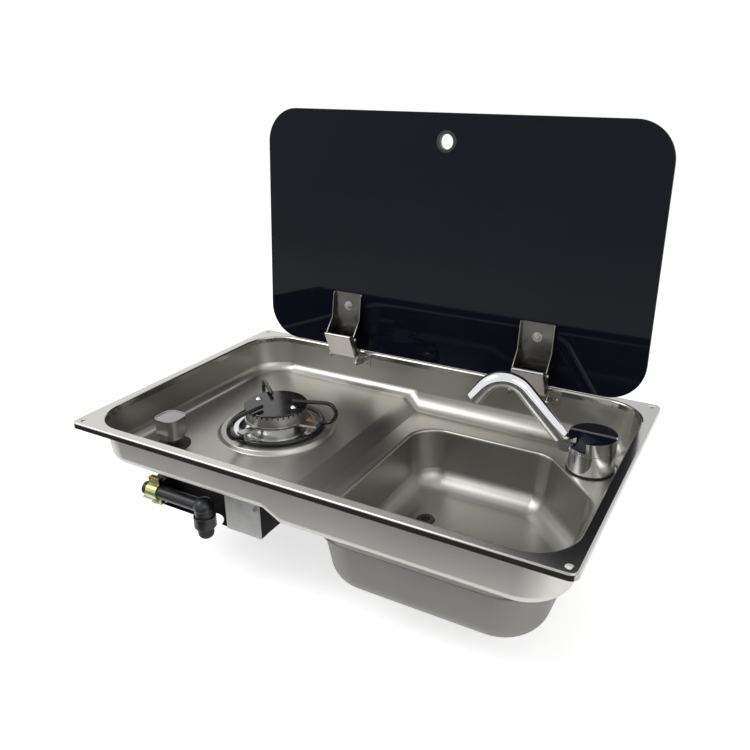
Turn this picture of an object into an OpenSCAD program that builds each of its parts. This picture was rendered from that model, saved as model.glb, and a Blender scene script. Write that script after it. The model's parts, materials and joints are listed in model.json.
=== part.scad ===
// Drop-in hob and sink combination with a folding tap and a hinged glass lid.
// Units are millimetres. X runs along the front, Y towards the back, Z up.
// The origin is the centre of the rim's top face.

/* [Rim] */
// Overall width of the rim
rim_w = 600; // [590:2:640]
// Overall depth of the rim
rim_d = 370; // [366:2:400]
// Width of the flat flange
flange_w = 13; // [11:1:15]
// Height of the lip folded down at the rim's edge
lip_h = 7; // [4:1:10]
// Outer corner radius of the rim
rim_r = 9; // [5:1:14]
// Steel sheet thickness
sheet = 1; // [0.8:0.1:1.2]
// Diameter of the four rim screw holes
rim_screw_d = 4.5; // [3.5:0.5:5]
// Distance of the rim screw holes from both edges
rim_screw_inset = 10; // [9:0.5:11]

/* [Well] */
// Corner radius of the opening inside the flange
well_r = 48; // [40:1:54]
// Depth of the hob deck below the rim
hob_depth = 51; // [49:0.5:53]
// Depth of the sink ledge below the rim
ledge_depth = 64; // [62:0.5:66]
// Lean of the well walls from upright, in degrees
wall_lean = 4.5; // [3:0.5:6]
// Fillet between wall and deck
well_fillet = 13; // [10:1:15]
// Radius between the sink ledge and the back wall
ledge_fillet = 30; // [24:1:32]
// Width of the hob side, from the rim's left edge to the deck's right edge
hob_w = 260; // [256:1:262]
// Width of the slope between hob deck and sink ledge
step_run = 22; // [18:1:24]

/* [Sink bowl] */
// Gap between the slope's foot and the bowl opening
bowl_gap = 26; // [24:0.5:30]
// Distance of the bowl opening from the rim's right edge
bowl_right_inset = 36; // [32:1:42]
// Distance of the bowl opening from the rim's front edge
bowl_front_inset = 28; // [27:0.5:35]
// Distance of the bowl opening from the rim's back edge
bowl_back_inset = 71; // [70:1:76]
// How far the cut corner beside the tap takes off the width
bowl_cut_x = 80; // [78:1:86]
// How far the cut corner beside the tap takes off the depth
bowl_cut_y = 80; // [78:1:86]
// Depth of the bowl floor below the rim
bowl_depth = 138; // [130:1:150]
// Lean of the bowl walls from upright, in degrees
bowl_lean = 8; // [5:0.5:9]
// Fillet between bowl wall and bowl floor
bowl_fillet = 28; // [20:1:32]

/* [Drain] */
// Distance of the drain's centre from the bowl's left edge
drain_inset_x = 56; // [50:1:60]
// Drain centre along Y
drain_y = 16; // [-10:1:22]
// Diameter of the drain flange in the bowl
drain_flange_d = 24; // [23:1:32]
// Diameter of the drain tube through the floor
drain_tube_d = 19; // [17:1:20]
// Length of the drain tube below the floor
drain_tail = 46; // [40:1:60]
// Length of the threaded part of the drain below the bowl's floor
drain_thread = 15; // [14:1:18]
// Diameter of the strainer slots
strainer_hole_d = 3.4; // [2.5:0.1:4]

/* [Burner] */
// Distance of the burner's centre from the hob deck's right edge
burner_inset = 100; // [94:1:106]
// Burner centre along Y
burner_y = -5; // [-12:1:4]
// Radius of the raised boss at the deck
boss_r = 75; // [72:1:78]
// Height of the raised boss
boss_h = 5.5; // [4:0.5:7]
// Diameter of the burner cap
cap_d = 80; // [74:1:84]
// Level of the cap's top below the rim
cap_top = 15; // [14:0.5:18]
// Thickness of the cap
cap_t = 3; // [2:0.5:4]
// Height of the burner crown
crown_h = 16; // [14:0.5:18]
// Number of flame slots in the crown
flame_slots = 36; // [24:2:44]
// Diameter of the pan support wire
wire_d = 5; // [4:0.5:5.5]
// Radius of the pan support ring, to the wire's middle
ring_r = 59; // [56:0.5:62]
// Level of the pan support's top wires below the rim, to the wire's middle
wire_top = 11; // [10:0.5:12]
// Radius of the inner end of a pan support arm
arm_in_r = 24; // [20:1:28]
// Radius of the outermost wire middle of a pan support arm
arm_out_r = 78; // [74:1:80]
// Direction of the first pan support arm, in degrees
arm_turn = 20; // [10:1:30]

/* [Hob knob] */
// Distance of the knob's centre from the rim's left edge
knob_inset_x = 72; // [68:1:78]
// Distance of the knob's centre from the rim's front edge
knob_inset_y = 85; // [79:1:91]
// Width across the knob's flats
knob_w = 32; // [30:1:36]
// Corner radius of the knob
knob_r = 11; // [9:1:13]
// Level of the knob's top below the rim
knob_top = 13; // [12:0.5:15]
// Height of the knob
knob_h = 27; // [24:0.5:29]
// Diameter of the knob spindle
spindle_d = 8; // [6:0.5:9]
// Push travel of the knob
knob_push = 4; // [3:0.5:5]

/* [Gas line] */
// Distance of the gas rail's middle from the rim's front edge
rail_inset = 28; // [27:0.5:29]
// Gas rail middle below the rim
rail_z = 80; // [79:0.5:81]
// Gas rail diameter
rail_d = 16; // [14:0.5:18]
// Distance of the rail clamp's middle to the right of the knob's centre
clamp_run = 23; // [20:1:26]
// Length of the gas rail to the left of the clamp's middle
rail_tail = 15; // [12:1:22]
// Length of the gas rail from the clamp's middle to its elbow
rail_run = 73.5; // [70:0.5:78]
// Diameter of the elbow's casting
elbow_d = 22; // [20:0.5:24]
// Length of the elbow's lower arm
elbow_drop = 15.5; // [15:0.5:17]
// Distance of each clamp screw from the gas rail's middle
clamp_pitch = 13.5; // [13:0.5:15]
// Bottom of the hose spigot below the rim
spigot_z = 120.5; // [119:0.5:124]
// Gas pipe diameter
pipe_d = 8; // [6:0.5:10]

/* [Burner tray] */
// Distance of the sheet tray's left edge from the knob's centre
tray_left_run = 3; // [1:1:6]
// Distance of the sheet tray's right edge from the hob deck's right edge
tray_right_inset = 11; // [8:1:14]
// Distance of the sheet tray's front edge from the rim's front edge
tray_front_inset = 29; // [28.5:0.5:31]
// Distance of the sheet tray's back edge from the rim's back edge
tray_back_inset = 107; // [95:1:109]
// Level of the tray's floor below the rim
tray_z = 97; // [96:0.5:98]
// Width of the front panel at the tray's right end
tray_panel_w = 48; // [40:1:52]

/* [Tap] */
// Distance of the tap's centre from the rim's right edge
tap_inset_x = 62; // [60:0.5:64]
// Distance of the tap's centre from the rim's back edge
tap_inset_y = 78; // [77:0.5:80]
// Tap body radius
tap_r = 28.5; // [27:0.5:29]
// Height of the fixed lower body
tap_body_h = 26.5; // [25:0.5:27]
// Height of the turning knob on the body
tap_knob_h = 17; // [15:0.5:18]
// Direction of the spout, in degrees
spout_dir = 194; // [192:1:198]
// Diameter of the spout
spout_d = 20; // [18:0.5:21]
// Distance of the fold pin from the tap's middle
fold_s = 31; // [30.5:0.5:33]
// Level of the fold pin below the rim
fold_z = 33; // [32:0.5:34]
// Angle at which the raised spout stands
fold_angle = 50; // [44:1:54]
// Straight length of the spout from the fold pin
spout_len = 82; // [76:1:88]
// Middle radius of the spout's bend
spout_bend_r = 30; // [26:1:34]
// Angle that the spout's bend turns through
spout_bend = 103; // [95:1:108]
// Straight length beyond the spout's bend
spout_tip = 20; // [14:1:24]
// Bore of the spout
spout_bore = 15; // [13:0.5:16]

/* [Lid] */
// How much narrower the glass lid is than the rim
lid_less_w = 43; // [38:1:50]
// How much shorter the glass lid is than the rim's depth
lid_less_h = 39; // [38:1:44]
// Thickness of the glass
lid_t = 5; // [4:0.5:5]
// Corner radius of the glass
lid_r = 47; // [40:1:54]
// Lean of the open lid from upright, in degrees
lid_lean = 4; // [2:0.5:6]
// Distance of the finger hole from the glass's free edge
finger_inset = 35; // [31:1:41]
// Diameter of the finger hole
finger_d = 19; // [17:0.5:20]
// Diameter of the ring around the finger hole
finger_ring_d = 28; // [26:0.5:30]

/* [Lid hinge] */
// Distance of each hinge from the middle
hinge_x = 141; // [136:1:146]
// Width across the lid bracket's cheeks
bracket_w = 46; // [44:1:48]
// Length of the lid bracket up the glass
bracket_len = 82; // [76:1:88]
// Height of the lid bolt above the hinge edge
bolt_a = 63; // [58:1:66]
// Thickness of the hinge sheet
hinge_t = 1.2; // [1:0.1:1.4]
// Diameter of the hinge pins
pin_d = 3; // [2.5:0.1:3.2]
// Distance of each base screw from the hinge's middle
base_screw_x = 31; // [30:0.5:33]
// Depth of the base screws below the rim
base_screw_z = 15; // [14:0.5:17]

/* [Hidden] */
$fn = 64;

// Small common sizes
eps = 0.5;
fit = 0.05;
gap = 0.3;
arc_n = 7;
hull_fn = 32;

// Well, from the rim sizes
well_hx = rim_w / 2 - flange_w;
well_hy = rim_d / 2 - flange_w;
screw_px = rim_w / 2 - rim_screw_inset;
screw_py = rim_d / 2 - rim_screw_inset;
step_x = hob_w - rim_w / 2;
ledge_x = step_x + step_run;
deck_z = -hob_depth;
ledge_z = -ledge_depth;
dimple_d = 2 * rim_screw_d;

// Places, from the rim's edges and the step between hob and sink
bowl_left = ledge_x + bowl_gap;
drain_x = bowl_left + drain_inset_x;
bowl_right = rim_w / 2 - bowl_right_inset;
bowl_front = bowl_front_inset - rim_d / 2;
bowl_back = rim_d / 2 - bowl_back_inset;
burner_x = step_x - burner_inset;
knob_x = knob_inset_x - rim_w / 2;
knob_y = knob_inset_y - rim_d / 2;
rail_y = rail_inset - rim_d / 2;
clamp_x = knob_x + clamp_run;
rail_left = clamp_x - rail_tail;
elbow_x = clamp_x + rail_run;
tray_left = knob_x - tray_left_run;
tray_right = step_x - tray_right_inset;
tray_front = tray_front_inset - rim_d / 2;
tray_back = rim_d / 2 - tray_back_inset;
tap_x = rim_w / 2 - tap_inset_x;
tap_y = rim_d / 2 - tap_inset_y;
lid_w = rim_w - lid_less_w;
lid_h = rim_d - lid_less_h;
finger_a = lid_h - finger_inset;

// Levels of the burner stack
boss_z = deck_z + boss_h;
boss_top_r = boss_r - 4;
burner_hole_r = 50;
cap_z = -cap_top - cap_t;
crown_z = cap_z - crown_h;
dish_t = 0.8;
thread_r = drain_tube_d / 2 + 0.4;
dish_in_r = cap_d / 2 - 1;
cup_r = 31;
rivet_r = 27.4;
cup_z = crown_z - 28;
ring_z = boss_z + wire_d / 2;
arm_bend = (-wire_top - ring_z - wire_d + 0.6) / 2;
arm_low_z = -wire_top - 2 * arm_bend;

// Gas line
valve_h = 34;
valve_z = deck_z - sheet - valve_h;
valve_w = 34;
valve_hole_d = 12;
rail_bore = rail_d - 5;
seal_d = 42;
knob_z = -knob_top - knob_h;

// Tap
tap_base_z = ledge_z + 1.5 + gap;
tap_joint_z = tap_base_z + tap_body_h;
tap_knob_z = tap_joint_z + 0.5;
tap_top_z = tap_knob_z + tap_knob_h;
stud_d = 24;
stud_len = 42;
fold_w = 12;
cheek_t = 3;
fold_pin_d = 4;
knuckle_r = 8.5;

// Lid hinge, worked out in the Y-Z plane from the lid's two resting places
open_edge = [rim_d / 2 - 12, 1.5];
closed_edge = [well_hy - 10.5, -lid_t - 1];
pin_a = 20;
pin_b = 21;
stay_a = -5;
stay_b = 8.5;
base_offset = 19;
stay_offset = -14;
function turn2(v, a) = [v.x * cos(a) - v.y * sin(a), v.x * sin(a) + v.y * cos(a)];
function unit2(v) = v / norm(v);
lid_up = [sin(lid_lean), cos(lid_lean)];
lid_out = turn2(lid_up, 90);
function on_open(a, b) = open_edge + a * lid_up + b * lid_out;
function on_closed(a, b) = closed_edge + [-a, -b];
function pivot(a, b, k) =
  let (p = on_open(a, b), q = on_closed(a, b), d = unit2(p - q))
  (p + q) / 2 + k * [d.y, -d.x];
lid_pin = on_open(pin_a, pin_b);
base_pin = pivot(pin_a, pin_b, base_offset);
stay_top = on_open(stay_a, stay_b);
stay_pin = pivot(stay_a, stay_b, stay_offset);
link_len = norm(lid_pin - base_pin);
stay_len = norm(stay_top - stay_pin);
link_lean = atan2(lid_pin.x - base_pin.x, lid_pin.y - base_pin.y);
stay_lean = atan2(stay_top.x - stay_pin.x, stay_top.y - stay_pin.y);
cheek_x = bracket_w / 2;
link_x = cheek_x - hinge_t - 1.2;
lug_x = link_x - hinge_t - gap;
// The lid turns about one fixed point; the links' upper holes are slots for the rest of its path
half_swing = norm(lid_pin - on_closed(pin_a, pin_b)) / 2;
pole_offset = half_swing / tan((90 + lid_lean) / 2);
slot_run = (link_len - base_offset) - (norm([half_swing, pole_offset]) - pole_offset);
stay_x = cheek_x + 1;

// Rounded polygon: corners V with radii R, drawn inwards by d
function rounded(V, R, d, n) = [
  for (i = [0 : len(V) - 1])
    let (
      v = V[i], p = V[(i + len(V) - 1) % len(V)], q = V[(i + 1) % len(V)],
      e1 = unit2(v - p), e2 = unit2(q - v),
      n1 = [-e1.y, e1.x], n2 = [-e2.y, e2.x],
      m = (n1 + n2) / (1 + n1 * n2),
      r = max(R[i] - d, 3),
      c = v + d * m + r * m,
      a1 = atan2(-n1.y, -n1.x),
      turn = acos(min(1, e1 * e2))
    )
    for (k = [0 : n]) c + r * [cos(a1 + turn * k / n), sin(a1 + turn * k / n)]
];

// Faces between stacked rings of m points, ring count k, with given end faces
function skin(m, k) = [
  for (j = [0 : k - 2])
    for (i = [0 : m - 1])
      for (f = [[0, 1, m + 1], [0, m + 1, m]])
        [for (s = f) j * m + (s >= m ? m : 0) + (i + s % m) % m]
];

// Depth below the rim and inward offset at each row of a wall with a floor fillet
fillet_n = 5;
function rows(depth, lean, r) = concat(
  [[0, 0]],
  [for (k = [0 : fillet_n])
    let (a = 90 * k / fillet_n)
    [(depth - r) * tan(lean) + r * (1 - cos(a)), -depth + r * (1 - sin(a))]]
);

// Well surface, grown outwards by t, with its top ring at height top
module well_solid(t, top) {
  corners = [[-well_hx, -well_hy], [well_hx, -well_hy], [well_hx, well_hy], [-well_hx, well_hy]];
  radii = [well_r, well_r, well_r, well_r];
  hob = rows(hob_depth + t, wall_lean, well_fillet + t);
  sink = rows(ledge_depth + t, wall_lean, well_fillet + t);
  back = rows(ledge_depth + t, wall_lean, ledge_fillet + t);
  c = arc_n + 1;
  function ring(k) =
    let (
      rise = k == 0 ? top * tan(wall_lean) : 0,
      hd = hob[k][0] - t - rise, sd = sink[k][0] - t - rise,
      bd = back[k][0] - t - rise,
      hz = k == 0 ? top : hob[k][1], sz = k == 0 ? top : sink[k][1], bz = k == 0 ? top : back[k][1],
      moved = [for (p = corners) [p.x, p.y > 0 ? p.y - (bd - sd) : p.y]],
      H = rounded(corners, radii, hd, arc_n),
      S = rounded(corners, radii, sd, arc_n),
      B = rounded(moved, radii, sd, arc_n)
    )
    concat(
      [for (i = [0 : c - 1]) [H[i].x, H[i].y, hz]],
      [[step_x, -well_hy + hd, hz], [ledge_x, -well_hy + sd, sz]],
      [for (i = [c : 2 * c - 1]) [S[i].x, S[i].y, sz]],
      [for (i = [2 * c : 3 * c - 1]) [B[i].x, B[i].y, bz]],
      [[ledge_x, well_hy - bd, bz], [step_x, well_hy - hd, hz]],
      [for (i = [3 * c : 4 * c - 1]) [H[i].x, H[i].y, hz]]
    );
  m = 4 * c + 4;
  k = len(hob);
  base = (k - 1) * m;
  f0 = c;
  b1 = 3 * c + 2;
  polyhedron(
    points = [for (j = [0 : k - 1]) each ring(j)],
    faces = concat(
      [[for (i = [m - 1 : -1 : 0]) i]],
      skin(m, k),
      [
        [for (i = concat([for (j = [0 : f0]) j], [for (j = [b1 + 1 : m - 1]) j])) base + i],
        [for (i = [f0, f0 + 1, b1, b1 + 1]) base + i],
        [for (i = [f0 + 1 : b1]) base + i]
      ]
    )
  );
}

bowl_corners = [
  [bowl_left, bowl_front], [bowl_right, bowl_front],
  [bowl_right, bowl_back - bowl_cut_y], [bowl_right - bowl_cut_x, bowl_back],
  [bowl_left, bowl_back]
];
bowl_radii = [50, 52, 44, 24, 38];

// Bowl surface below the ledge, grown outwards by t, with its top ring at height top
module bowl_solid(t, top) {
  R = rows(bowl_depth - ledge_depth + t, bowl_lean, bowl_fillet + t);
  rise = (top - ledge_z) * tan(bowl_lean);
  m = len(bowl_corners) * (arc_n + 1);
  k = len(R);
  polyhedron(
    points = [
      for (j = [0 : k - 1])
        for (p = rounded(bowl_corners, bowl_radii, R[j][0] - t - (j == 0 ? rise : 0), arc_n))
          [p.x, p.y, j == 0 ? top : ledge_z + R[j][1]]
    ],
    faces = concat(
      [[for (i = [m - 1 : -1 : 0]) i]],
      skin(m, k),
      [[for (i = [0 : m - 1]) (k - 1) * m + i]]
    )
  );
}

module bowl_outline(d) {
  polygon(rounded(bowl_corners, bowl_radii, d, 3 * arc_n));
}

module rounded_rect(w, d, r) {
  hull()
    for (x = [-1, 1], y = [-1, 1])
      translate([x * (w / 2 - r), y * (d / 2 - r)]) circle(r);
}

// Flat plate with rounded corners, drawn with true arcs
module plate(w, d, r, h) {
  linear_extrude(h) {
    square([w - 2 * r, d], center = true);
    square([w, d - 2 * r], center = true);
    for (x = [-1, 1], y = [-1, 1])
      translate([x * (w / 2 - r), y * (d / 2 - r)]) circle(r);
  }
}

module at_screw_holes() {
  for (x = [-1, 1], y = [-1, 1]) translate([x * screw_px, y * screw_py, 0]) children();
}

module tube(r, bore, h) {
  difference() {
    cylinder(r = r, h = h);
    translate([0, 0, -eps]) cylinder(r = bore, h = h + 2 * eps);
  }
}

// Frame of the back wall at a hinge: Y points into the wall, Z up along it
module at_wall(x) {
  translate([x, well_hy, 0]) rotate([-wall_lean, 0, 0]) children();
}

// Frame of the open lid: Z up the glass from its hinge edge, Y to the outside
module on_lid() {
  translate([0, open_edge.x, open_edge.y]) rotate([-lid_lean, 0, 0]) children();
}

// A sheet profile drawn in the Y-Z plane, from x to x + t
module side_sheet(x, t) {
  translate([x, 0, 0]) rotate([90, 0, 90]) linear_extrude(t) children();
}

module hex_nut(af, h, bore) {
  difference() {
    linear_extrude(h) circle(d = af / cos(30), $fn = 6);
    translate([0, 0, -eps]) cylinder(r = bore, h = h + 2 * eps);
  }
}

module pan() {
  color("silver")
    difference() {
      union() {
        translate([0, 0, -sheet]) plate(rim_w, rim_d, rim_r, sheet);
        difference() {
          translate([0, 0, -lip_h]) plate(rim_w, rim_d, rim_r, lip_h);
          translate([0, 0, -lip_h - eps])
            plate(rim_w - 2 * sheet, rim_d - 2 * sheet, rim_r - sheet, lip_h + eps - sheet / 2);
        }
        at_screw_holes() translate([0, 0, -2 * sheet]) cylinder(d = dimple_d, h = 2 * sheet);
        difference() {
          well_solid(sheet, -sheet / 2);
          translate([burner_x, burner_y, deck_z - 2 * sheet - eps])
            cylinder(r = boss_r - sheet, h = 2 * sheet + 2 * eps);
        }
      }
      well_solid(0, eps);
      translate([0, 0, ledge_z - 2 * sheet]) linear_extrude(3 * sheet) bowl_outline(0);
      at_screw_holes() translate([0, 0, -3 * sheet]) cylinder(d = rim_screw_d, h = 4 * sheet);
      translate([knob_x, knob_y, deck_z - 2 * sheet]) cylinder(d = seal_d - 8, h = 4 * sheet);
      translate([tap_x, tap_y, ledge_z - 2 * sheet]) cylinder(d = stud_d + 1, h = 4 * sheet);
      for (s = [-1, 1], k = [-1, 1])
        at_wall(s * hinge_x)
          translate([k * base_screw_x, 3 * sheet, -base_screw_z])
            rotate([90, 0, 0]) cylinder(d = 4, h = 6 * sheet);
    }
  color("silver")
    translate([burner_x, burner_y, 0])
      rotate_extrude()
        polygon([
          [boss_r - sheet, deck_z - sheet], [boss_r + sheet, deck_z - sheet],
          [boss_r + sheet, deck_z], [boss_r, deck_z + fit],
          [boss_top_r + sheet, boss_z - sheet], [boss_top_r, boss_z], [burner_hole_r, boss_z],
          [burner_hole_r, boss_z - sheet], [boss_top_r - sheet / 2, boss_z - sheet]
        ]);
}

module sink_bowl() {
  weld_w = 5;
  color("silver")
    difference() {
      union() {
        bowl_solid(sheet, ledge_z - sheet);
        translate([0, 0, ledge_z - 2 * sheet]) linear_extrude(sheet) bowl_outline(-weld_w);
      }
      bowl_solid(0, ledge_z + eps);
      translate([drain_x, drain_y, -bowl_depth - 2 * sheet])
        cylinder(d = drain_tube_d + 1, h = 4 * sheet);
    }
}

module drain_flange() {
  ring_step = drain_tube_d / 4 - 0.5;
  color("black")
    translate([drain_x, drain_y, -bowl_depth]) {
      difference() {
        union() {
          cylinder(d1 = drain_flange_d, d2 = drain_flange_d - 3, h = 2);
          translate([0, 0, -drain_tail]) cylinder(d = drain_tube_d, h = drain_tail + eps);
          translate([0, 0, -drain_thread]) cylinder(r = thread_r, h = drain_thread + eps);
        }
        translate([0, 0, -drain_tail - eps]) cylinder(d = drain_tube_d - 5, h = drain_tail);
        for (k = [0 : 5])
          rotate(60 * k) translate([ring_step, 0, -3]) cylinder(d = strainer_hole_d, h = 6);
        translate([0, 0, -3]) cylinder(d = strainer_hole_d, h = 6);
      }
    }
}

module drain_gasket() {
  color("dimgray")
    translate([drain_x, drain_y, -bowl_depth - sheet - 2])
      tube(drain_flange_d / 2 + 1, thread_r + fit, 2);
}

module drain_nut() {
  nut_h = 10;
  color("black")
    translate([drain_x, drain_y, -bowl_depth - sheet - 2 - nut_h])
      difference() {
        union() {
          cylinder(r = drain_flange_d / 2 + 3, h = nut_h);
          for (a = [0 : 45 : 359])
            rotate(a) translate([drain_flange_d / 2 + 2.5, -2, 0]) cube([3, 4, nut_h]);
        }
        translate([0, 0, -eps]) cylinder(r = thread_r + fit, h = nut_h + 2 * eps);
      }
}

// Polished ring between the boss and the burner, with a flat floor below the burner
module burner_dish() {
  floor_z = boss_z - 6.5;
  in_r = 33;
  color("gainsboro")
    translate([burner_x, burner_y, 0])
      difference() {
        rotate_extrude()
          polygon([
            [in_r, floor_z], [dish_in_r - 1, floor_z], [burner_hole_r - 2.6, boss_z - 2.2],
            [burner_hole_r - 0.3, boss_z], [ring_r - 4, boss_z], [ring_r - 4, boss_z + dish_t],
            [burner_hole_r - 1, boss_z + dish_t], [burner_hole_r - 3.6, boss_z - 1.4],
            [dish_in_r - 2, floor_z + dish_t], [in_r, floor_z + dish_t]
          ]);
        rotate(sensor_turn)
          translate([sensor_r, 0, floor_z - 3]) cylinder(r = 3.2, h = 9);
      }
}

sensor_r = cap_d / 2 + 4;
sensor_turn = arm_turn + 60;
// Cast body that sits on the dish and reaches over the support ring with three lugs
module burner_cup() {
  venturi_r = 11;
  seat_z = boss_z - 6.5 + dish_t;
  flange_t = 1.6;
  lug_w = 11;
  lug_top = crown_z - 4;
  lug_h = 3;
  color("darkgray")
    translate([burner_x, burner_y, 0])
      difference() {
        union() {
          translate([0, 0, cup_z]) cylinder(r = venturi_r, h = crown_z - cup_z);
          translate([0, 0, seat_z - 8]) cylinder(r = cup_r, h = crown_z - seat_z + 8);
          for (z = [seat_z, crown_z - flange_t]) translate([0, 0, z]) cylinder(r = cup_r + 5, h = flange_t);
          for (k = [0 : 2])
            rotate(arm_turn - 8 + 120 * k)
              translate([cup_r - 2, -lug_w / 2, lug_top - lug_h])
                cube([ring_r - wire_d / 2 + 1.5 - cup_r, lug_w, lug_h]);
          rotate(sensor_turn) translate([cup_r - 1, -4, seat_z - 7]) cube([sensor_r - cup_r + 5, 8, 2.5]);
        }
        translate([0, 0, cup_z - eps]) cylinder(r = venturi_r - 3, h = crown_z - cup_z + 1);
        translate([0, 0, seat_z - 5]) cylinder(r = cup_r - 3, h = crown_z - seat_z + 6);
        rotate(sensor_turn) translate([sensor_r, 0, seat_z - 8]) cylinder(r = 1.8 + fit, h = 5);
      }
}

module burner_crown() {
  crown_r = cap_d / 2 - 1;
  slot_w = 2.2;
  color("gainsboro")
    translate([burner_x, burner_y, crown_z])
      difference() {
        union() {
          cylinder(r = crown_r, h = crown_h);
          translate([0, 0, 0]) cylinder(r = crown_r + 1.5, h = 2);
        }
        translate([0, 0, -eps]) cylinder(r = crown_r - 7, h = crown_h + 2 * eps);
        for (k = [0 : flame_slots - 1])
          rotate(360 * k / flame_slots)
            translate([crown_r - 5, -slot_w / 2, crown_h - 3]) cube([10, slot_w, 3 + eps]);
      }
}

module burner_cap() {
  color("black")
    translate([burner_x, burner_y, cap_z])
      difference() {
        rotate_extrude()
          polygon([
            [0, 0], [cap_d / 2 - 1, 0], [cap_d / 2, 0.8],
            [cap_d / 2, cap_t - 0.8], [cap_d / 2 - 1, cap_t], [0, cap_t]
          ]);
        for (s = [-1, 1]) translate([s * rivet_r, 0, -eps]) cylinder(r = 2, h = cap_t + 2 * eps);
      }
}

module cap_rivets() {
  color("silver")
    for (s = [-1, 1])
      translate([burner_x + s * rivet_r, burner_y, 0]) {
        translate([0, 0, cap_z]) cylinder(r = 2 - fit, h = cap_t + eps);
        translate([0, 0, cap_z + cap_t])
          intersection() {
            cylinder(r = 4, h = 3);
            translate([0, 0, -2.5]) sphere(r = 4.8);
          }
      }
}

// Ring with three hairpin arms of one bent wire each
module pan_support() {
  $fn = 18;
  wr = wire_d / 2;
  straight = arm_out_r - arm_bend - arm_in_r;
  low_in_r = ring_r - 1;
  color("black")
    translate([burner_x, burner_y, 0]) {
      translate([0, 0, ring_z]) rotate_extrude($fn = 48) translate([ring_r, 0]) circle(wr);
      for (k = [0 : 2])
        rotate(arm_turn + 120 * k) {
          translate([arm_in_r, 0, -wire_top]) rotate([0, 90, 0]) cylinder(r = wr, h = straight + fit);
          translate([arm_in_r, 0, -wire_top]) sphere(wr);
          translate([arm_out_r - arm_bend, 0, -wire_top - arm_bend])
            rotate([90, 90, 0])
              rotate_extrude(angle = 180, $fn = 32) translate([arm_bend, 0]) circle(wr);
          translate([low_in_r, 0, arm_low_z])
            rotate([0, 90, 0]) cylinder(r = wr, h = arm_out_r - arm_bend - low_in_r + fit);
          translate([low_in_r, 0, arm_low_z]) sphere(wr);
        }
    }
}

// The pipe runs level from the valve to the jet
pipe_z = valve_z + 16;
valve_c = [knob_x, knob_y, pipe_z];
jet_c = [burner_x, burner_y, pipe_z];
pipe_dir = (jet_c - valve_c) / norm(jet_c - valve_c);
boss_len = 24;
jet_boss = 19;
pipe_seat = 6;

module jet_holder() {
  color("goldenrod")
    difference() {
      union() {
        translate([burner_x, burner_y, pipe_z - 8]) cylinder(r = 9, h = cup_z - pipe_z + 8);
        translate([burner_x, burner_y, cup_z - 4]) cylinder(r = 11, h = 4);
        rod(jet_c, jet_c - jet_boss * pipe_dir, 7);
      }
      translate([burner_x, burner_y, pipe_z]) cylinder(r = 1, h = 20);
      rod(jet_c - (jet_boss - pipe_seat) * pipe_dir, jet_c - (jet_boss + 2) * pipe_dir, pipe_d / 2 + fit);
      rod(jet_c, jet_c - jet_boss * pipe_dir, 2);
    }
}

// Straight run of round bar between two points
module rod(p, q, r) {
  d = q - p;
  translate(p)
    rotate([0, acos(d.z / norm(d)), atan2(d.y, d.x)]) cylinder(r = r, h = norm(d));
}

module gas_pipe() {
  p = valve_c + (boss_len - pipe_seat) * pipe_dir;
  q = jet_c - (jet_boss - pipe_seat) * pipe_dir;
  color("silver")
    difference() {
      rod(p, q, pipe_d / 2);
      rod(p - pipe_dir, q + pipe_dir, pipe_d / 2 - 1);
    }
}

module pipe_nuts() {
  nut_len = 11;
  color("goldenrod")
    for (p = [valve_c + boss_len * pipe_dir, jet_c - (jet_boss + nut_len) * pipe_dir])
      difference() {
        rod(p, p + nut_len * pipe_dir, pipe_d / 2 + 3.5);
        rod(p - pipe_dir, p + (nut_len + 1) * pipe_dir, pipe_d / 2 + fit);
      }
}

magnet_len = 30;
// Flame sensor beside the crown with its lead down to the valve
module thermocouple() {
  lead_r = 1.2;
  sx = burner_x + sensor_r * cos(sensor_turn);
  sy = burner_y + sensor_r * sin(sensor_turn);
  low = crown_z - 30;
  back = knob_y + valve_w / 2 + magnet_len + 12;
  knees = [[sx, sy, low], [knob_x, sy, low - 6], [knob_x, back, valve_z + 12]];
  color("peru") {
    translate([sx, sy, crown_z - 2]) cylinder(r = 1.8, h = crown_h - 1);
    translate([sx, sy, crown_z - 17.5]) cylinder(r = 2.8, h = 15.6);
    translate([sx, sy, low]) cylinder(r = 1.8, h = 15);
    for (k = [0 : 1]) rod(knees[k], knees[k + 1], lead_r);
    for (p = knees) translate(p) sphere(lead_r + 0.3);
    rod(knees[2], [knob_x, knob_y + valve_w / 2 + magnet_len - 3, valve_z + 12], lead_r);
  }
}

module knob_seal() {
  color("black")
    translate([knob_x, knob_y, deck_z])
      rotate_extrude()
        polygon([
          [spindle_d / 2 + 1, -1], [seal_d / 2 - 4.2, -1], [seal_d / 2 - 4.2, 0], [seal_d / 2, 0],
          [seal_d / 2, 1.2], [seal_d / 2 - 2, 2.4], [seal_d / 2 - 5, 1.4],
          [spindle_d / 2 + 1, 1.4]
        ]);
}

module hob_knob() {
  color("gray")
    translate([knob_x, knob_y, knob_z])
      difference() {
        union() {
          translate([0, 0, 5]) plate(knob_w, knob_w, knob_r, knob_h - 5);
          cylinder(r = knob_w / 2 - 1, h = 6);
        }
        translate([0, 0, knob_h - 0.8]) plate(knob_w - 3, knob_w - 3, knob_r - 1.5, 1 + eps);
        translate([0, 0, -eps]) cylinder(r = knob_w / 2 - 4, h = 4 + eps);
        translate([0, 0, -eps]) cylinder(d = spindle_d, h = knob_h - 6 + eps);
        translate([-knob_w / 2 - 1, -knob_w / 2 - 1, 9]) cube([knob_w - 6, 5, knob_h - 11.5]);
      }
}

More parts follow.
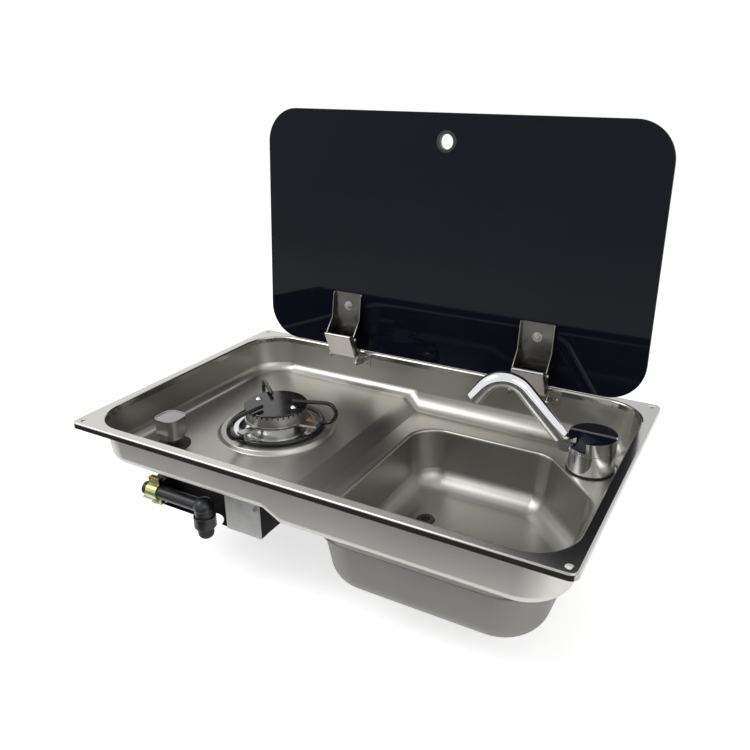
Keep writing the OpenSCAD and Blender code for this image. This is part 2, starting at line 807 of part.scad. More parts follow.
collar_t = 2;
collar_z = deck_z - sheet - 2 - gap - collar_t;
plug_top = valve_z + 20;
module knob_spindle() {
  foot = valve_z + 16;
  color("silver")
    translate([knob_x, knob_y, 0]) {
      translate([0, 0, foot]) cylinder(d = spindle_d, h = knob_z + knob_h - 6 - foot);
      translate([0, 0, collar_z]) cylinder(r = 6.6, h = collar_t);
    }
}

module valve_plug() {
  color("goldenrod")
    translate([knob_x, knob_y, valve_z + 3])
      difference() {
        cylinder(r = 7, h = plug_top - valve_z - 3);
        translate([0, 0, 12 - knob_push]) cylinder(d = spindle_d + 2 * fit, h = 22);
        translate([0, 0, 3]) rotate([0, 90, 0]) cylinder(r = 1.5, h = 10);
      }
}

// Close-wound spring around the spindle, drawn as joined coils
module spindle_spring() {
  coil_r = 0.7;
  coils = 7;
  span = collar_z - plug_top - 2 * coil_r;
  color("silver")
    translate([knob_x, knob_y, plug_top + coil_r]) {
      rotate_extrude()
        for (k = [0 : coils - 1]) translate([5.6, span * k / (coils - 1)]) circle(coil_r, $fn = 20);
      for (a = [0, 180]) rotate(a) translate([5.6, 0, 0]) cylinder(r = coil_r / 2, h = span);
    }
}

module valve_cap() {
  color("silver")
    translate([knob_x, knob_y, deck_z - sheet - 2]) tube(valve_w / 2, spindle_d / 2 + gap, 2);
}

lug_half = 8;
lug_rise = 18;
clamp_wall = 1.6;
module gas_valve() {
  face_y = rail_y + fit;
  block_z = 1.2 - tray_z;
  color("black")
    difference() {
      union() {
        translate([knob_x, knob_y, valve_z]) cylinder(r = valve_w / 2, h = valve_h - 2);
        translate([0, 0, block_z])
          linear_extrude(valve_z + lug_rise - block_z)
            polygon([
              [clamp_x - lug_half, face_y], [clamp_x + lug_half, face_y],
              [clamp_x + lug_half, face_y + 20], [knob_x + 12, knob_y], [knob_x - 12, knob_y],
              [clamp_x - lug_half, face_y + 12]
            ]);
        translate([clamp_x - lug_half, face_y, -rail_z - clamp_pitch - 3.5]) cube([2 * lug_half, 5, 2 * clamp_pitch + 7]);
        translate([knob_x, knob_y + valve_w / 2 - 2, valve_z + 12])
          rotate([-90, 0, 0]) cylinder(r = 8, h = magnet_len + 2);
        rod(valve_c + 10 * pipe_dir, valve_c + boss_len * pipe_dir, 7.5);
      }
      translate([clamp_x - lug_half - eps, rail_y, -rail_z])
        rotate([0, 90, 0]) cylinder(r = rail_d / 2 + gap, h = 2 * (lug_half + eps));
      translate([knob_x, knob_y, valve_z + 3 - fit]) cylinder(r = 7 + fit, h = valve_h);
      rod(valve_c + (boss_len - pipe_seat) * pipe_dir, valve_c + 40 * pipe_dir, pipe_d / 2 + fit);
      translate([knob_x, knob_y + valve_w / 2 + magnet_len - 3, valve_z + 12])
        rotate([-90, 0, 0]) cylinder(r = 1.2 + fit, h = 4);
      for (s = [-1, 1])
        translate([clamp_x, face_y - 1, -rail_z + s * clamp_pitch]) rotate([-90, 0, 0]) cylinder(r = 1.6, h = 9);
    }
}

// Saddle over the front half of the gas rail, drawn in the rail's cross-section
module clamp_profile() {
  r = rail_d / 2;
  difference() {
    union() {
      circle(r + clamp_wall);
      translate([-clamp_wall, -clamp_pitch - 4]) square([clamp_wall, 2 * (clamp_pitch + 4)]);
    }
    circle(r + fit);
    translate([0, -r - 10]) square([r + 10, 2 * (r + 10)]);
  }
}

module rail_clamp() {
  color("khaki")
    difference() {
      translate([clamp_x - lug_half, rail_y, -rail_z])
        rotate([90, 0, 90]) linear_extrude(2 * lug_half) clamp_profile();
      for (s = [-1, 1])
        translate([clamp_x, rail_y - 10, -rail_z + s * clamp_pitch]) rotate([-90, 0, 0]) cylinder(r = 1.9, h = 20);
    }
}

module clamp_screws() {
  color("silver")
    for (s = [-1, 1])
      translate([clamp_x, rail_y - clamp_wall, -rail_z + s * clamp_pitch]) {
        rotate([90, 0, 0]) cylinder(r1 = 3.2, r2 = 2.6, h = 2.6);
        rotate([-90, 0, 0]) cylinder(r = 1.6 - fit, h = 7);
      }
}

neck_h = 5;
module gas_rail() {
  run = elbow_x - rail_left;
  color("black")
    difference() {
      union() {
        translate([rail_left, rail_y, -rail_z]) rotate([0, 90, 0]) cylinder(d = rail_d, h = run);
        translate([elbow_x, rail_y, -rail_z]) sphere(d = elbow_d + 1);
        translate([elbow_x, rail_y, -rail_z - elbow_drop + neck_h]) cylinder(d = elbow_d, h = elbow_drop - neck_h);
        translate([elbow_x, rail_y, -rail_z - elbow_drop]) cylinder(d = rail_d, h = elbow_drop);
      }
      translate([rail_left + 4, rail_y, -rail_z]) rotate([0, 90, 0]) cylinder(d = rail_bore, h = run - 4);
      translate([elbow_x, rail_y, -rail_z - elbow_drop - 1]) cylinder(d = rail_bore, h = elbow_drop + 1);
    }
}

spigot_r = 5;
collar_h = 9.5;
collar_low = -rail_z - elbow_drop - collar_h;
// Round union nut that holds the hose spigot against the rail's end
module spigot_nut() {
  color("black")
    translate([elbow_x, rail_y, collar_low])
      difference() {
        cylinder(r = elbow_d / 2 + 1.7, h = collar_h + neck_h - gap);
        translate([0, 0, -eps]) cylinder(r = spigot_r + fit, h = collar_h);
        translate([0, 0, collar_h - 4]) cylinder(r = rail_d / 2 + fit, h = neck_h + 5);
      }
}

spigot_low = 3 - spigot_z;
module hose_spigot() {
  seat = -rail_z - elbow_drop;
  barb = 3.6;
  color("gray")
    translate([elbow_x, rail_y, spigot_low])
      difference() {
        union() {
          cylinder(r = spigot_r, h = seat - fit - spigot_low);
          for (k = [0 : 2]) translate([0, 0, barb * k]) cylinder(r1 = 4.6, r2 = 6, h = barb - fit);
          translate([0, 0, seat - 4 + fit - spigot_low]) cylinder(r = rail_d / 2 - fit, h = 4 - 2 * fit);
        }
        translate([0, 0, -eps]) cylinder(r = 3.2, h = spigot_z);
      }
}

// Transport cap pushed over the spigot
module spigot_cap() {
  cap_r = 9.1;
  round_r = 7;
  cap_h = collar_low - gap + spigot_z;
  color("black")
    translate([elbow_x, rail_y, -spigot_z])
      difference() {
        rotate_extrude()
          polygon(concat(
            [[0, 0]],
            [for (a = [0 : 15 : 90]) [cap_r - round_r + round_r * sin(a), round_r - round_r * cos(a)]],
            [[cap_r, cap_h], [0, cap_h]]
          ));
        translate([0, 0, 2.7]) cylinder(r = 6 + fit, h = cap_h);
      }
}

module burner_tray() {
  w = tray_right - tray_left;
  d = tray_back - tray_front;
  top = deck_z - sheet;
  h = top + tray_z;
  notch_r = 19.5;
  fold = 9;
  color("lightgray")
    difference() {
      union() {
        translate([tray_left, tray_front, -tray_z]) cube([w, d, sheet]);
        translate([tray_right - sheet, tray_front, -tray_z]) cube([sheet, d, h]);
        translate([tray_left, tray_back - sheet, -tray_z]) cube([w, sheet, h]);
        translate([tray_left, tray_back, top - sheet]) cube([w, fold, sheet]);
      }
      translate([elbow_x + 5, tray_front - 4.5, -tray_z - eps]) cylinder(r = notch_r, h = 2 * eps + sheet);
      translate([clamp_x - lug_half - 1, tray_front - eps, -tray_z - eps])
        cube([2 * lug_half + 2, 6, 2 * eps + sheet]);
      translate([burner_x, burner_y, -tray_z - eps]) cylinder(r = 16, h = 2 * eps + sheet);
      for (x = [tray_left + 20, tray_right - 20])
        translate([x, tray_back + fold / 2, top - 2 * sheet]) cylinder(d = 3.4, h = 3 * sheet);
    }
}

module tray_front_panel() {
  top = deck_z - sheet;
  panel_x = tray_right - tray_panel_w;
  color("lightgray")
    difference() {
      union() {
        translate([panel_x, tray_front - sheet, -tray_z]) cube([tray_panel_w, sheet, top + tray_z]);
        translate([panel_x, tray_front - sheet, -tray_z - sheet]) cube([tray_panel_w, 10, sheet]);
      }
      translate([tray_right - 6, tray_front + eps, top - 9]) rotate([90, 0, 0]) cylinder(d = 3.4, h = 3 * sheet);
    }
}

module tray_screws() {
  top = deck_z - sheet;
  color("silver") {
    for (x = [tray_left + 20, tray_right - 20])
      translate([x, tray_back + 4.5, top - sheet - 2]) {
        cylinder(r = 3, h = 2);
        cylinder(r = 1.6, h = 3);
      }
    translate([tray_right - 6, tray_front - sheet, top - 9])
      rotate([90, 0, 0]) {
        cylinder(r = 2.6, h = 1.6);
        translate([0, 0, -2]) cylinder(r = 1.6, h = 2);
      }
  }
}

module at_tap(z) {
  translate([tap_x, tap_y, z]) children();
}

// Frame of the raised spout: X out along the pipe from the fold pin
module at_spout() {
  at_tap(-fold_z)
    rotate(spout_dir) translate([fold_s, 0, 0]) rotate([0, -fold_angle, 0]) children();
}

module tap_gasket() {
  color("black") at_tap(ledge_z) tube(tap_r + 0.5, stud_d / 2 + fit, 1.5);
}

module tap_body() {
  socket_r = 17;
  lug_top = -fold_z + knuckle_r;
  color("silver")
    difference() {
      union() {
        at_tap(tap_base_z) {
          cylinder(r = tap_r - 0.8, h = 0.8);
          translate([0, 0, 0.8]) cylinder(r = tap_r, h = tap_body_h - 0.8);
        }
        at_tap(-fold_z)
          rotate(spout_dir)
            for (s = [-1, 1])
              translate([0, s * (fold_w / 2 + gap + cheek_t / 2), 0]) {
                translate([fold_s, cheek_t / 2, 0]) rotate([90, 0, 0]) cylinder(r = knuckle_r, h = cheek_t);
                translate([tap_r - 8, -cheek_t / 2, -knuckle_r])
                  cube([fold_s - tap_r + 8, cheek_t, knuckle_r + tap_joint_z + fold_z]);
              }
      }
      at_tap(tap_base_z - eps) cylinder(r = stud_d / 2 + fit, h = 12 + eps);
      at_tap(tap_joint_z - 12) cylinder(r = socket_r, h = 12 + eps);
      at_tap(-fold_z)
        rotate(spout_dir)
          translate([fold_s - knuckle_r - 5, -fold_w / 2 - gap, -knuckle_r - 3])
            cube([30, fold_w + 2 * gap, 40]);
      at_tap(-fold_z)
        rotate(spout_dir)
          translate([fold_s, 20, 0]) rotate([90, 0, 0]) cylinder(d = fold_pin_d, h = 40);
    }
}

module tap_stud() {
  color("goldenrod")
    at_tap(tap_base_z - stud_len) tube(stud_d / 2, 6, stud_len + 12);
}

module tap_washer() {
  color("black") at_tap(ledge_z - sheet - 3) tube(20, stud_d / 2 + fit, 3);
}

module tap_backnut() {
  color("goldenrod") at_tap(ledge_z - sheet - 3 - 8) hex_nut(34, 8, stud_d / 2 + fit);
}

module tap_inlet() {
  color("dimgray")
    at_tap(tap_base_z - stud_len - 24)
      difference() {
        union() {
          cylinder(r = 5, h = 40);
          for (k = [0 : 3]) translate([0, 0, 4 * k]) cylinder(r1 = 4.8, r2 = 6, h = 4 - fit);
          translate([0, 0, 18]) cylinder(r = 9, h = 6);
        }
        translate([0, 0, -eps]) cylinder(r = 3.5, h = 42);
      }
}

module tap_cartridge() {
  color("goldenrod") {
    at_tap(tap_joint_z - 12) cylinder(r = 17 - fit, h = 11.5);
    at_tap(tap_joint_z - eps) cylinder(r = 5, h = 9);
  }
}

// Tap handle: notch over the spout's foot, raised crescent, lever cut in the insert
knob_travel = 60;
notch_half = 27;
notch_r = 19;
notch_top = -fold_z + knuckle_r + gap - tap_knob_z;
crescent_y = 3;
crescent_h = 1.2;
lever_end = -91;
insert_floor = 3;

module knob_notch() {
  rotate(spout_dir - notch_half - knob_travel)
    translate([0, 0, -eps])
      rotate_extrude(angle = 2 * notch_half + knob_travel) translate([notch_r, 0]) square([tap_r, notch_top + eps]);
}

// Insert as seen from above: a disc of radius r, out to out_r on the spout's side, c clear of the crescent
module insert_seat(r, out_r, c) {
  intersection() {
    union() {
      circle(r);
      intersection() {
        circle(out_r);
        polygon([[0, 0], [60 * cos(lever_end), 60 * sin(lever_end)], [-60, -60], [-60, crescent_y], [0, crescent_y]]);
      }
    }
    translate([-60, -60]) square([120, 60 + crescent_y - c]);
  }
}

module tap_knob() {
  color("silver")
    at_tap(tap_knob_z)
      difference() {
        cylinder(r = tap_r, h = tap_knob_h);
        translate([-60, -60, tap_knob_h - crescent_h]) cube([120, 60 + crescent_y, 5]);
        translate([0, 0, insert_floor]) linear_extrude(tap_knob_h) insert_seat(tap_r - 1.6, 60, 0);
        translate([0, 0, -eps]) cylinder(r = 5 + fit, h = insert_floor + 6);
        knob_notch();
      }
}

module tap_knob_insert() {
  top = tap_knob_h - crescent_h - insert_floor;
  color("black")
    at_tap(tap_knob_z)
      difference() {
        translate([0, 0, insert_floor]) linear_extrude(top) insert_seat(tap_r - 1.6 - fit, tap_r, fit);
        translate([0, 0, insert_floor - eps]) cylinder(r = 5 + fit, h = 6);
        knob_notch();
        translate([0, 0, insert_floor])
          rotate(-125)
            translate([6, -10, top]) rotate([0, atan((top - 0.5) / (tap_r - 6)), 0]) cube([60, 27, 30]);
      }
}

module spout_pin() {
  color("silver")
    at_tap(-fold_z)
      rotate(spout_dir)
        translate([fold_s, fold_w / 2 + gap + cheek_t, 0])
          rotate([90, 0, 0]) cylinder(d = fold_pin_d, h = fold_w + 2 * gap + 2 * cheek_t);
}

module spout() {
  start = 10;
  bore_from = 22;
  overlap = 1;
  skim = 0.1;
  tail = knuckle_r - 1;
  color("silver")
    at_spout()
      difference() {
        union() {
          difference() {
            translate([start, 0, 0]) rotate([0, 90, 0]) cylinder(d = spout_d, h = spout_len - start);
            translate([bore_from, 0, 0]) rotate([0, 90, 0]) cylinder(d = spout_bore, h = spout_len);
          }
          translate([spout_len, 0, -spout_bend_r])
            rotate([90, 0, 0])
              rotate(90 - spout_bend - overlap)
                rotate_extrude(angle = spout_bend + 2 * overlap)
                  translate([spout_bend_r, 0])
                    difference() {
                      circle(spout_d / 2 - skim);
                      circle(spout_bore / 2 + skim);
                    }
          translate([spout_len, 0, -spout_bend_r])
            rotate([0, spout_bend, 0])
              translate([0, 0, spout_bend_r])
                rotate([0, 90, 0]) tube(spout_d / 2, spout_bore / 2, spout_tip);
          rotate([90, 0, 0]) translate([0, 0, -fold_w / 2]) cylinder(r = knuckle_r - 0.5, h = fold_w);
          translate([0, -fold_w / 2, -tail]) cube([start + 2, fold_w, 2 * tail]);
        }
        translate([0, 20, 0]) rotate([90, 0, 0]) cylinder(r = fold_pin_d / 2 + fit, h = 40);
      }
}

module spout_nozzle() {
  nozzle_h = 6;
  color("gray")
    at_spout()
      translate([spout_len, 0, -spout_bend_r])
        rotate([0, spout_bend, 0])
          translate([spout_tip - nozzle_h, 0, spout_bend_r])
            rotate([0, 90, 0])
              difference() {
                cylinder(r = spout_bore / 2 - fit, h = nozzle_h - 1);
                for (a = [0 : 60 : 359]) rotate(a) translate([4, 0, -eps]) cylinder(r = 1.2, h = nozzle_h + 1);
                translate([0, 0, -eps]) cylinder(r = 1.2, h = nozzle_h + 1);
              }
}

module glass_lid() {
  color([0.02, 0.03, 0.06])
    on_lid()
      difference() {
        translate([0, lid_t, lid_h / 2]) rotate([90, 0, 0]) plate(lid_w, lid_h, lid_r, lid_t);
        translate([0, lid_t + eps, finger_a]) rotate([90, 0, 0]) cylinder(d = finger_d + 3, h = lid_t + 2 * eps);
        for (s = [-1, 1])
          translate([s * hinge_x, lid_t + eps, bolt_a]) rotate([90, 0, 0]) cylinder(d = 8, h = lid_t + 2 * eps);
      }
}

// Flanged ring that lines the finger hole
module finger_ring() {
  flange_t = 1.2;
  color([0.06, 0.06, 0.07])
    on_lid()
      translate([0, -flange_t, finger_a])
        rotate([-90, 0, 0])
          rotate_extrude()
            polygon([
              [finger_d / 2, 0], [finger_ring_d / 2 - 0.8, 0], [finger_ring_d / 2, 0.8],
              [finger_ring_d / 2, flange_t], [finger_d / 2 + 1.5 - fit, flange_t],
              [finger_d / 2 + 1.5 - fit, flange_t + lid_t], [finger_ring_d / 2, flange_t + lid_t],
              [finger_ring_d / 2 - 0.6, 2 * flange_t + lid_t - 0.4], [finger_d / 2, 2 * flange_t + lid_t - 0.4]
            ]);
}

pad_t = 1;
bracket_low = 20;
// Cheek of the lid bracket in the glass frame: x is minus the distance off the glass
module cheek_outline(stay) {
  web = -pad_t;
  difference() {
    union() {
      polygon([
        [web, 16], [web, bracket_len], [web - 4, bracket_len], [web - 6, bracket_len - 4],
        [web - 9, 46], [-pin_b - 4, pin_a + 5], [-pin_b - 4, pin_a], [-pin_b, pin_a - 4.5]
      ]);
      translate([-pin_b, pin_a]) circle(5);
      if (stay) {
        polygon([[-pin_b, pin_a - 3], [-stay_b - 2.4, stay_a], [-stay_b + 2.4, stay_a], [web, 16.5], [-10, 24]]);
        translate([-stay_b, stay_a]) circle(2.4);
      }
    }
    translate([-pin_b, pin_a]) circle(pin_d / 2 + fit);
    if (stay) translate([-stay_b, stay_a]) circle(1);
  }
}

module lid_bracket(s) {
  color("silver")
    on_lid()
      translate([s * hinge_x, 0, 0]) {
        difference() {
          translate([-cheek_x, -pad_t - hinge_t, bracket_low]) cube([bracket_w, hinge_t, bracket_len - bracket_low]);
          translate([0, eps, bolt_a]) rotate([90, 0, 0]) cylinder(d = 5.4, h = 4);
        }
        side_sheet(-cheek_x, hinge_t) cheek_outline(false);
        side_sheet(cheek_x - hinge_t, hinge_t) cheek_outline(true);
      }
}

module lid_bracket_left() { lid_bracket(-1); }
module lid_bracket_right() { lid_bracket(1); }

module lid_pads() {
  color([0.1, 0.1, 0.1])
    for (s = [-1, 1])
      on_lid()
        translate([s * hinge_x, 0, 0])
          difference() {
            translate([-cheek_x + 1, -pad_t, bracket_low]) cube([bracket_w - 2, pad_t, bracket_len - bracket_low]);
            translate([0, eps, bolt_a]) rotate([90, 0, 0]) cylinder(d = 8, h = 4);
          }
}

module lid_bolts() {
  color("silver")
    for (s = [-1, 1])
      on_lid()
        translate([s * hinge_x, lid_t, bolt_a]) {
          rotate([-90, 0, 0]) cylinder(r1 = 8, r2 = 7, h = 1.6);
          rotate([90, 0, 0]) cylinder(r = 2.5, h = lid_t + pad_t + hinge_t + 5);
        }
}

module lid_washers() {
  color("silver")
    for (s = [-1, 1])
      on_lid()
        translate([s * hinge_x, -pad_t - hinge_t, bolt_a]) rotate([90, 0, 0]) tube(6.5, 2.5 + fit, 1);
}

module lid_nuts() {
  color("silver")
    for (s = [-1, 1])
      on_lid()
        translate([s * hinge_x, -pad_t - hinge_t - 1, bolt_a])
          rotate([90, 0, 0]) {
            hex_nut(8, 3, 2.5 + fit);
          }
}

web_front = 8.7;
web_low = 4.5;
web_high = 42;
// Frame of a front link at rest: Z from the base pin to the lid pin
module at_link(s) {
  translate([s * hinge_x, base_pin.x, base_pin.y]) rotate([-link_lean, 0, 0]) children();
}

module link_outline() {
  difference() {
    union() {
      polygon([
        [-web_front, web_low], [-web_front, web_high - 2], [-web_front + 2, web_high],
        [-3, web_high - 1], [4.4, link_len + 2], [4.4, link_len - 12], [2.6, 8],
        [2.6, 0], [-2.6, 0], [-4.5, web_low]
      ]);
      circle(3.4);
      translate([0, link_len]) circle(5);
    }
    circle(pin_d / 2 + fit);
    hull() for (z = [0, -slot_run]) translate([0, link_len + z]) circle(pin_d / 2 + gap);
  }
}

module front_link(s) {
  bar_r = 2.6;
  color("silver")
    at_link(s) {
      for (x = [-link_x, link_x - hinge_t]) side_sheet(x, hinge_t) link_outline();
      translate([-link_x, -web_front, web_low]) cube([2 * link_x, hinge_t, web_high - 2 - web_low]);
      translate([-link_x, -web_front + bar_r, web_high - 2])
        rotate([0, 90, 0])
          difference() {
            cylinder(r = bar_r, h = 2 * link_x);
            translate([0, 0, -eps]) cylinder(r = bar_r - hinge_t, h = 2 * link_x + 2 * eps);
            translate([0, -bar_r - eps, -eps]) cube([bar_r + eps, 2 * bar_r + 2 * eps, 2 * link_x + 2 * eps]);
          }
    }
}

module front_link_left() { front_link(-1); }
module front_link_right() { front_link(1); }

// Riveted pins between the front links and the lid brackets
module front_link_pins() {
  color("silver")
    for (s = [-1, 1])
      translate([s * hinge_x, lid_pin.x, lid_pin.y])
        rotate([0, 90, 0]) {
          translate([0, 0, -cheek_x - 0.2]) cylinder(d = pin_d, h = bracket_w + 0.4);
          for (k = [0, 1])
            mirror([0, 0, k]) translate([0, 0, cheek_x + 0.2]) cylinder(r1 = 3, r2 = 2, h = 1.6);
        }
}

module rear_link(s) {
  color("silver")
    translate([s * hinge_x + stay_x, stay_pin.x, stay_pin.y])
      rotate([-stay_lean, 0, 0]) {
        side_sheet(0, hinge_t)
          difference() {
            union() {
              circle(2.4);
              translate([0, stay_len]) circle(2.4);
              translate([-2.4, 0]) square([4.8, stay_len]);
            }
            circle(pin_d / 2 + fit);
          }
        translate([-0.6, 0, stay_len]) rotate([0, 90, 0]) cylinder(r = 1.4, h = hinge_t + 0.6);
      }
}

module rear_link_left() { rear_link(-1); }
module rear_link_right() { rear_link(1); }

// Base plate on the back wall, with lugs for the two pins
module hinge_base(s) {
  base_w = 2 * base_screw_x + 14;
  top = -4;
  low = -base_screw_z - 7;
  stay_lug_x = stay_x + hinge_t + gap;
  tab_w = base_w / 2 - stay_lug_x - hinge_t;
  py = base_pin.x - well_hy;
  sy = stay_pin.x - well_hy;
  color("silver")
    difference() {
      union() {
        at_wall(s * hinge_x) translate([-base_w / 2, -hinge_t, low]) cube([base_w, hinge_t, top - low]);
        at_wall(s * hinge_x)
          translate([base_w / 2 - tab_w, -8, top - hinge_t]) cube([tab_w, 8, hinge_t]);
        translate([s * hinge_x, well_hy, 0]) {
          for (x = [-lug_x, lug_x - hinge_t])
            side_sheet(x, hinge_t) {
              polygon([[-hinge_t / 2 - 0.4, base_pin.y + 3], [-hinge_t - 0.6, base_pin.y - 7], [py, base_pin.y - 3], [py, base_pin.y + 3]]);
              translate([py, base_pin.y]) circle(3);
            }
          side_sheet(stay_lug_x, hinge_t) {
            polygon([[-hinge_t - 0.4, stay_pin.y + 3], [-hinge_t - 1, stay_pin.y - 6], [sy, stay_pin.y - 3], [sy, stay_pin.y + 3]]);
            translate([sy, stay_pin.y]) circle(3);
          }
        }
      }
      translate([s * hinge_x - 30, base_pin.x, base_pin.y]) rotate([0, 90, 0]) cylinder(d = pin_d, h = 60);
      translate([s * hinge_x + 20, stay_pin.x, stay_pin.y]) rotate([0, 90, 0]) cylinder(d = pin_d, h = 20);
      for (k = [-1, 1])
        at_wall(s * hinge_x)
          translate([k * base_screw_x, eps, -base_screw_z]) rotate([90, 0, 0]) cylinder(d = 4, h = 4);
    }
}

module hinge_base_left() { hinge_base(-1); }
module hinge_base_right() { hinge_base(1); }

module base_pins() {
  color("silver")
    for (s = [-1, 1]) {
      translate([s * hinge_x - link_x - 0.8, base_pin.x, base_pin.y])
        rotate([0, 90, 0]) cylinder(d = pin_d, h = 2 * link_x + 1.6);
      translate([s * hinge_x + stay_x - 0.6, stay_pin.x, stay_pin.y])
        rotate([0, 90, 0]) cylinder(d = pin_d, h = 2 * hinge_t + gap + 1.6);
    }
}

module base_screws() {
  color("silver")
    for (s = [-1, 1], k = [-1, 1])
      at_wall(s * hinge_x)
        translate([k * base_screw_x, 0, -base_screw_z]) {
          translate([0, -hinge_t, 0]) rotate([90, 0, 0]) cylinder(r1 = 3.6, r2 = 2.6, h = 2);
          translate([0, 6, 0]) rotate([90, 0, 0]) cylinder(r = 2, h = 6 + hinge_t);
          translate([0, 4.2, 0]) rotate([90, 0, 0]) rotate([0, 0, 30]) hex_nut(7, 3, 2);
        }
}

pan();
sink_bowl();
drain_flange();
drain_gasket();
drain_nut();
burner_dish();
burner_cup();
burner_crown();
burner_cap();
cap_rivets();
pan_support();
jet_holder();
gas_pipe();
pipe_nuts();
thermocouple();
knob_seal();
hob_knob();
knob_spindle();
valve_plug();
spindle_spring();
gas_valve();
valve_cap();
rail_clamp();
clamp_screws();
gas_rail();
spigot_nut();
hose_spigot();
spigot_cap();
burner_tray();
tray_front_panel();
tray_screws();
tap_gasket();
tap_body();
tap_stud();
tap_washer();
tap_backnut();
tap_inlet();
tap_cartridge();
tap_knob();
tap_knob_insert();
spout_pin();
spout();
spout_nozzle();
glass_lid();
finger_ring();
lid_bracket_left();
lid_bracket_right();
lid_pads();
lid_bolts();
lid_washers();
lid_nuts();
front_link_left();
front_link_right();
front_link_pins();
rear_link_left();
rear_link_right();
hinge_base_left();
hinge_base_right();
base_pins();
base_screws();
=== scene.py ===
import json
import math

import bmesh
import bpy
from mathutils import Matrix, Vector

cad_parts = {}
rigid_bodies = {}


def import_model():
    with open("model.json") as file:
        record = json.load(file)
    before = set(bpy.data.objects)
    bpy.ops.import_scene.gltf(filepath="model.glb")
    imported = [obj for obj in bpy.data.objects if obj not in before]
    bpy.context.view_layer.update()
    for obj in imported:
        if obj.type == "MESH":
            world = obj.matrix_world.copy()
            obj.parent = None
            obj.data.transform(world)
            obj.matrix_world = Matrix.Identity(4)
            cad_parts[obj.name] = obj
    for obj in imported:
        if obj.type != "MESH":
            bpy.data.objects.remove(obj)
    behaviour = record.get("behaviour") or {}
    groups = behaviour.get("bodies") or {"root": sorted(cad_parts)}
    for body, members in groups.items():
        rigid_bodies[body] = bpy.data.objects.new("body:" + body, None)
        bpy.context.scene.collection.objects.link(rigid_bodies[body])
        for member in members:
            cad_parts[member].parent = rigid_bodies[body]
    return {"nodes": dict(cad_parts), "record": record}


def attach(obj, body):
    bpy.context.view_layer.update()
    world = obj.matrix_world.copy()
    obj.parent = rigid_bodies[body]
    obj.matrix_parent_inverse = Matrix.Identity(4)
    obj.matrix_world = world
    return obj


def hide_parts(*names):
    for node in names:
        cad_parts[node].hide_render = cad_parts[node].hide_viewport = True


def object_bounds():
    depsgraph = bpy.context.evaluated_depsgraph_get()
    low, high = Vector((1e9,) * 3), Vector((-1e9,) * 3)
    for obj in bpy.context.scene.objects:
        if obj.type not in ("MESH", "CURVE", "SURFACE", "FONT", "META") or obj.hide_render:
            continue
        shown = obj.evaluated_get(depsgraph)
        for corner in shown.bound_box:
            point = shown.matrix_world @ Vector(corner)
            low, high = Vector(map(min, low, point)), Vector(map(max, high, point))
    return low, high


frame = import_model()
cad_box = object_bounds()
MM = 0.001


# ---------------------------------------------------------------- tools
def take(piece):
    """Leaves the piece as the only selected one."""
    bpy.ops.object.select_all(action="DESELECT")
    piece.select_set(True)
    bpy.context.view_layer.objects.active = piece


def edit(piece):
    take(piece)
    bpy.ops.object.mode_set(mode="EDIT")


def leave():
    bpy.ops.object.mode_set(mode="OBJECT")


def pick(kind, test):
    """Selects the vertices, edges or faces of the piece in edit mode that pass the test."""
    bpy.ops.mesh.select_mode(type=kind)
    bpy.ops.mesh.select_all(action="DESELECT")
    data = bpy.context.object.data
    mesh = bmesh.from_edit_mesh(data)
    items = {"VERT": mesh.verts, "EDGE": mesh.edges, "FACE": mesh.faces}[kind]
    for item in items:
        if test(item):
            item.select_set(True)
    mesh.select_flush_mode()
    bmesh.update_edit_mesh(data)


def middle(item):
    if hasattr(item, "co"):
        return item.co
    total = Vector((0, 0, 0))
    for vert in item.verts:
        total += vert.co
    return total / len(item.verts)


def near(a, b, reach=0.01):
    return abs(a - b) < reach


def extrude(x, y, z):
    bpy.ops.mesh.extrude_region_move(TRANSFORM_OT_translate={"value": (x, y, z)})


def bevel(width, steps=3, corners=False):
    bpy.ops.mesh.bevel(
        offset_type="OFFSET", offset=width, segments=steps, profile=0.5,
        affect="VERTICES" if corners else "EDGES", clamp_overlap=False, loop_slide=False,
    )


def named(name):
    piece = bpy.context.object
    piece.name = name
    piece.data.name = name
    return piece


def apply_all(piece):
    take(piece)
    for modifier in list(piece.modifiers):
        bpy.ops.object.modifier_apply(modifier=modifier.name)


def add(piece, kind, **values):
    modifier = piece.modifiers.new(kind.lower(), kind)
    for key, value in values.items():
        setattr(modifier, key, value)
    apply_all(piece)


def cut(piece, tool, way="DIFFERENCE"):
    """Cuts the piece with the tool, or joins them, and removes the tool."""
    add(piece, "BOOLEAN", operation=way, object=tool, solver="EXACT")
    bpy.data.objects.remove(tool, do_unlink=True)


def join(piece, *others):
    take(piece)
    for other in others:
        other.select_set(True)
    bpy.ops.object.join()
    return piece


def tidy_mesh(reach=0.001):
    bpy.ops.mesh.select_all(action="SELECT")
    bpy.ops.mesh.remove_doubles(threshold=reach)
    bpy.ops.mesh.normals_make_consistent(inside=False)


def smooth(piece, angle=32):
    take(piece)
    bpy.ops.object.shade_smooth_by_angle(angle=math.radians(angle))
    add(piece, "WEIGHTED_NORMAL", keep_sharp=True, weight=80)


def to_metres(piece):
    """Pieces are drawn in millimetres round the frame's origin."""
    piece.matrix_world = Matrix.Scale(MM, 4) @ piece.matrix_world
    take(piece)
    bpy.ops.object.transform_apply(location=True, rotation=True, scale=True)


def finish_piece(piece, body, finish, stands_for, angle=32):
    smooth(piece, angle)
    to_metres(piece)
    piece.data.materials.clear()
    piece.data.materials.append(finish)
    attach(piece, body)
    if stands_for:
        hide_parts(*stands_for)
    return piece


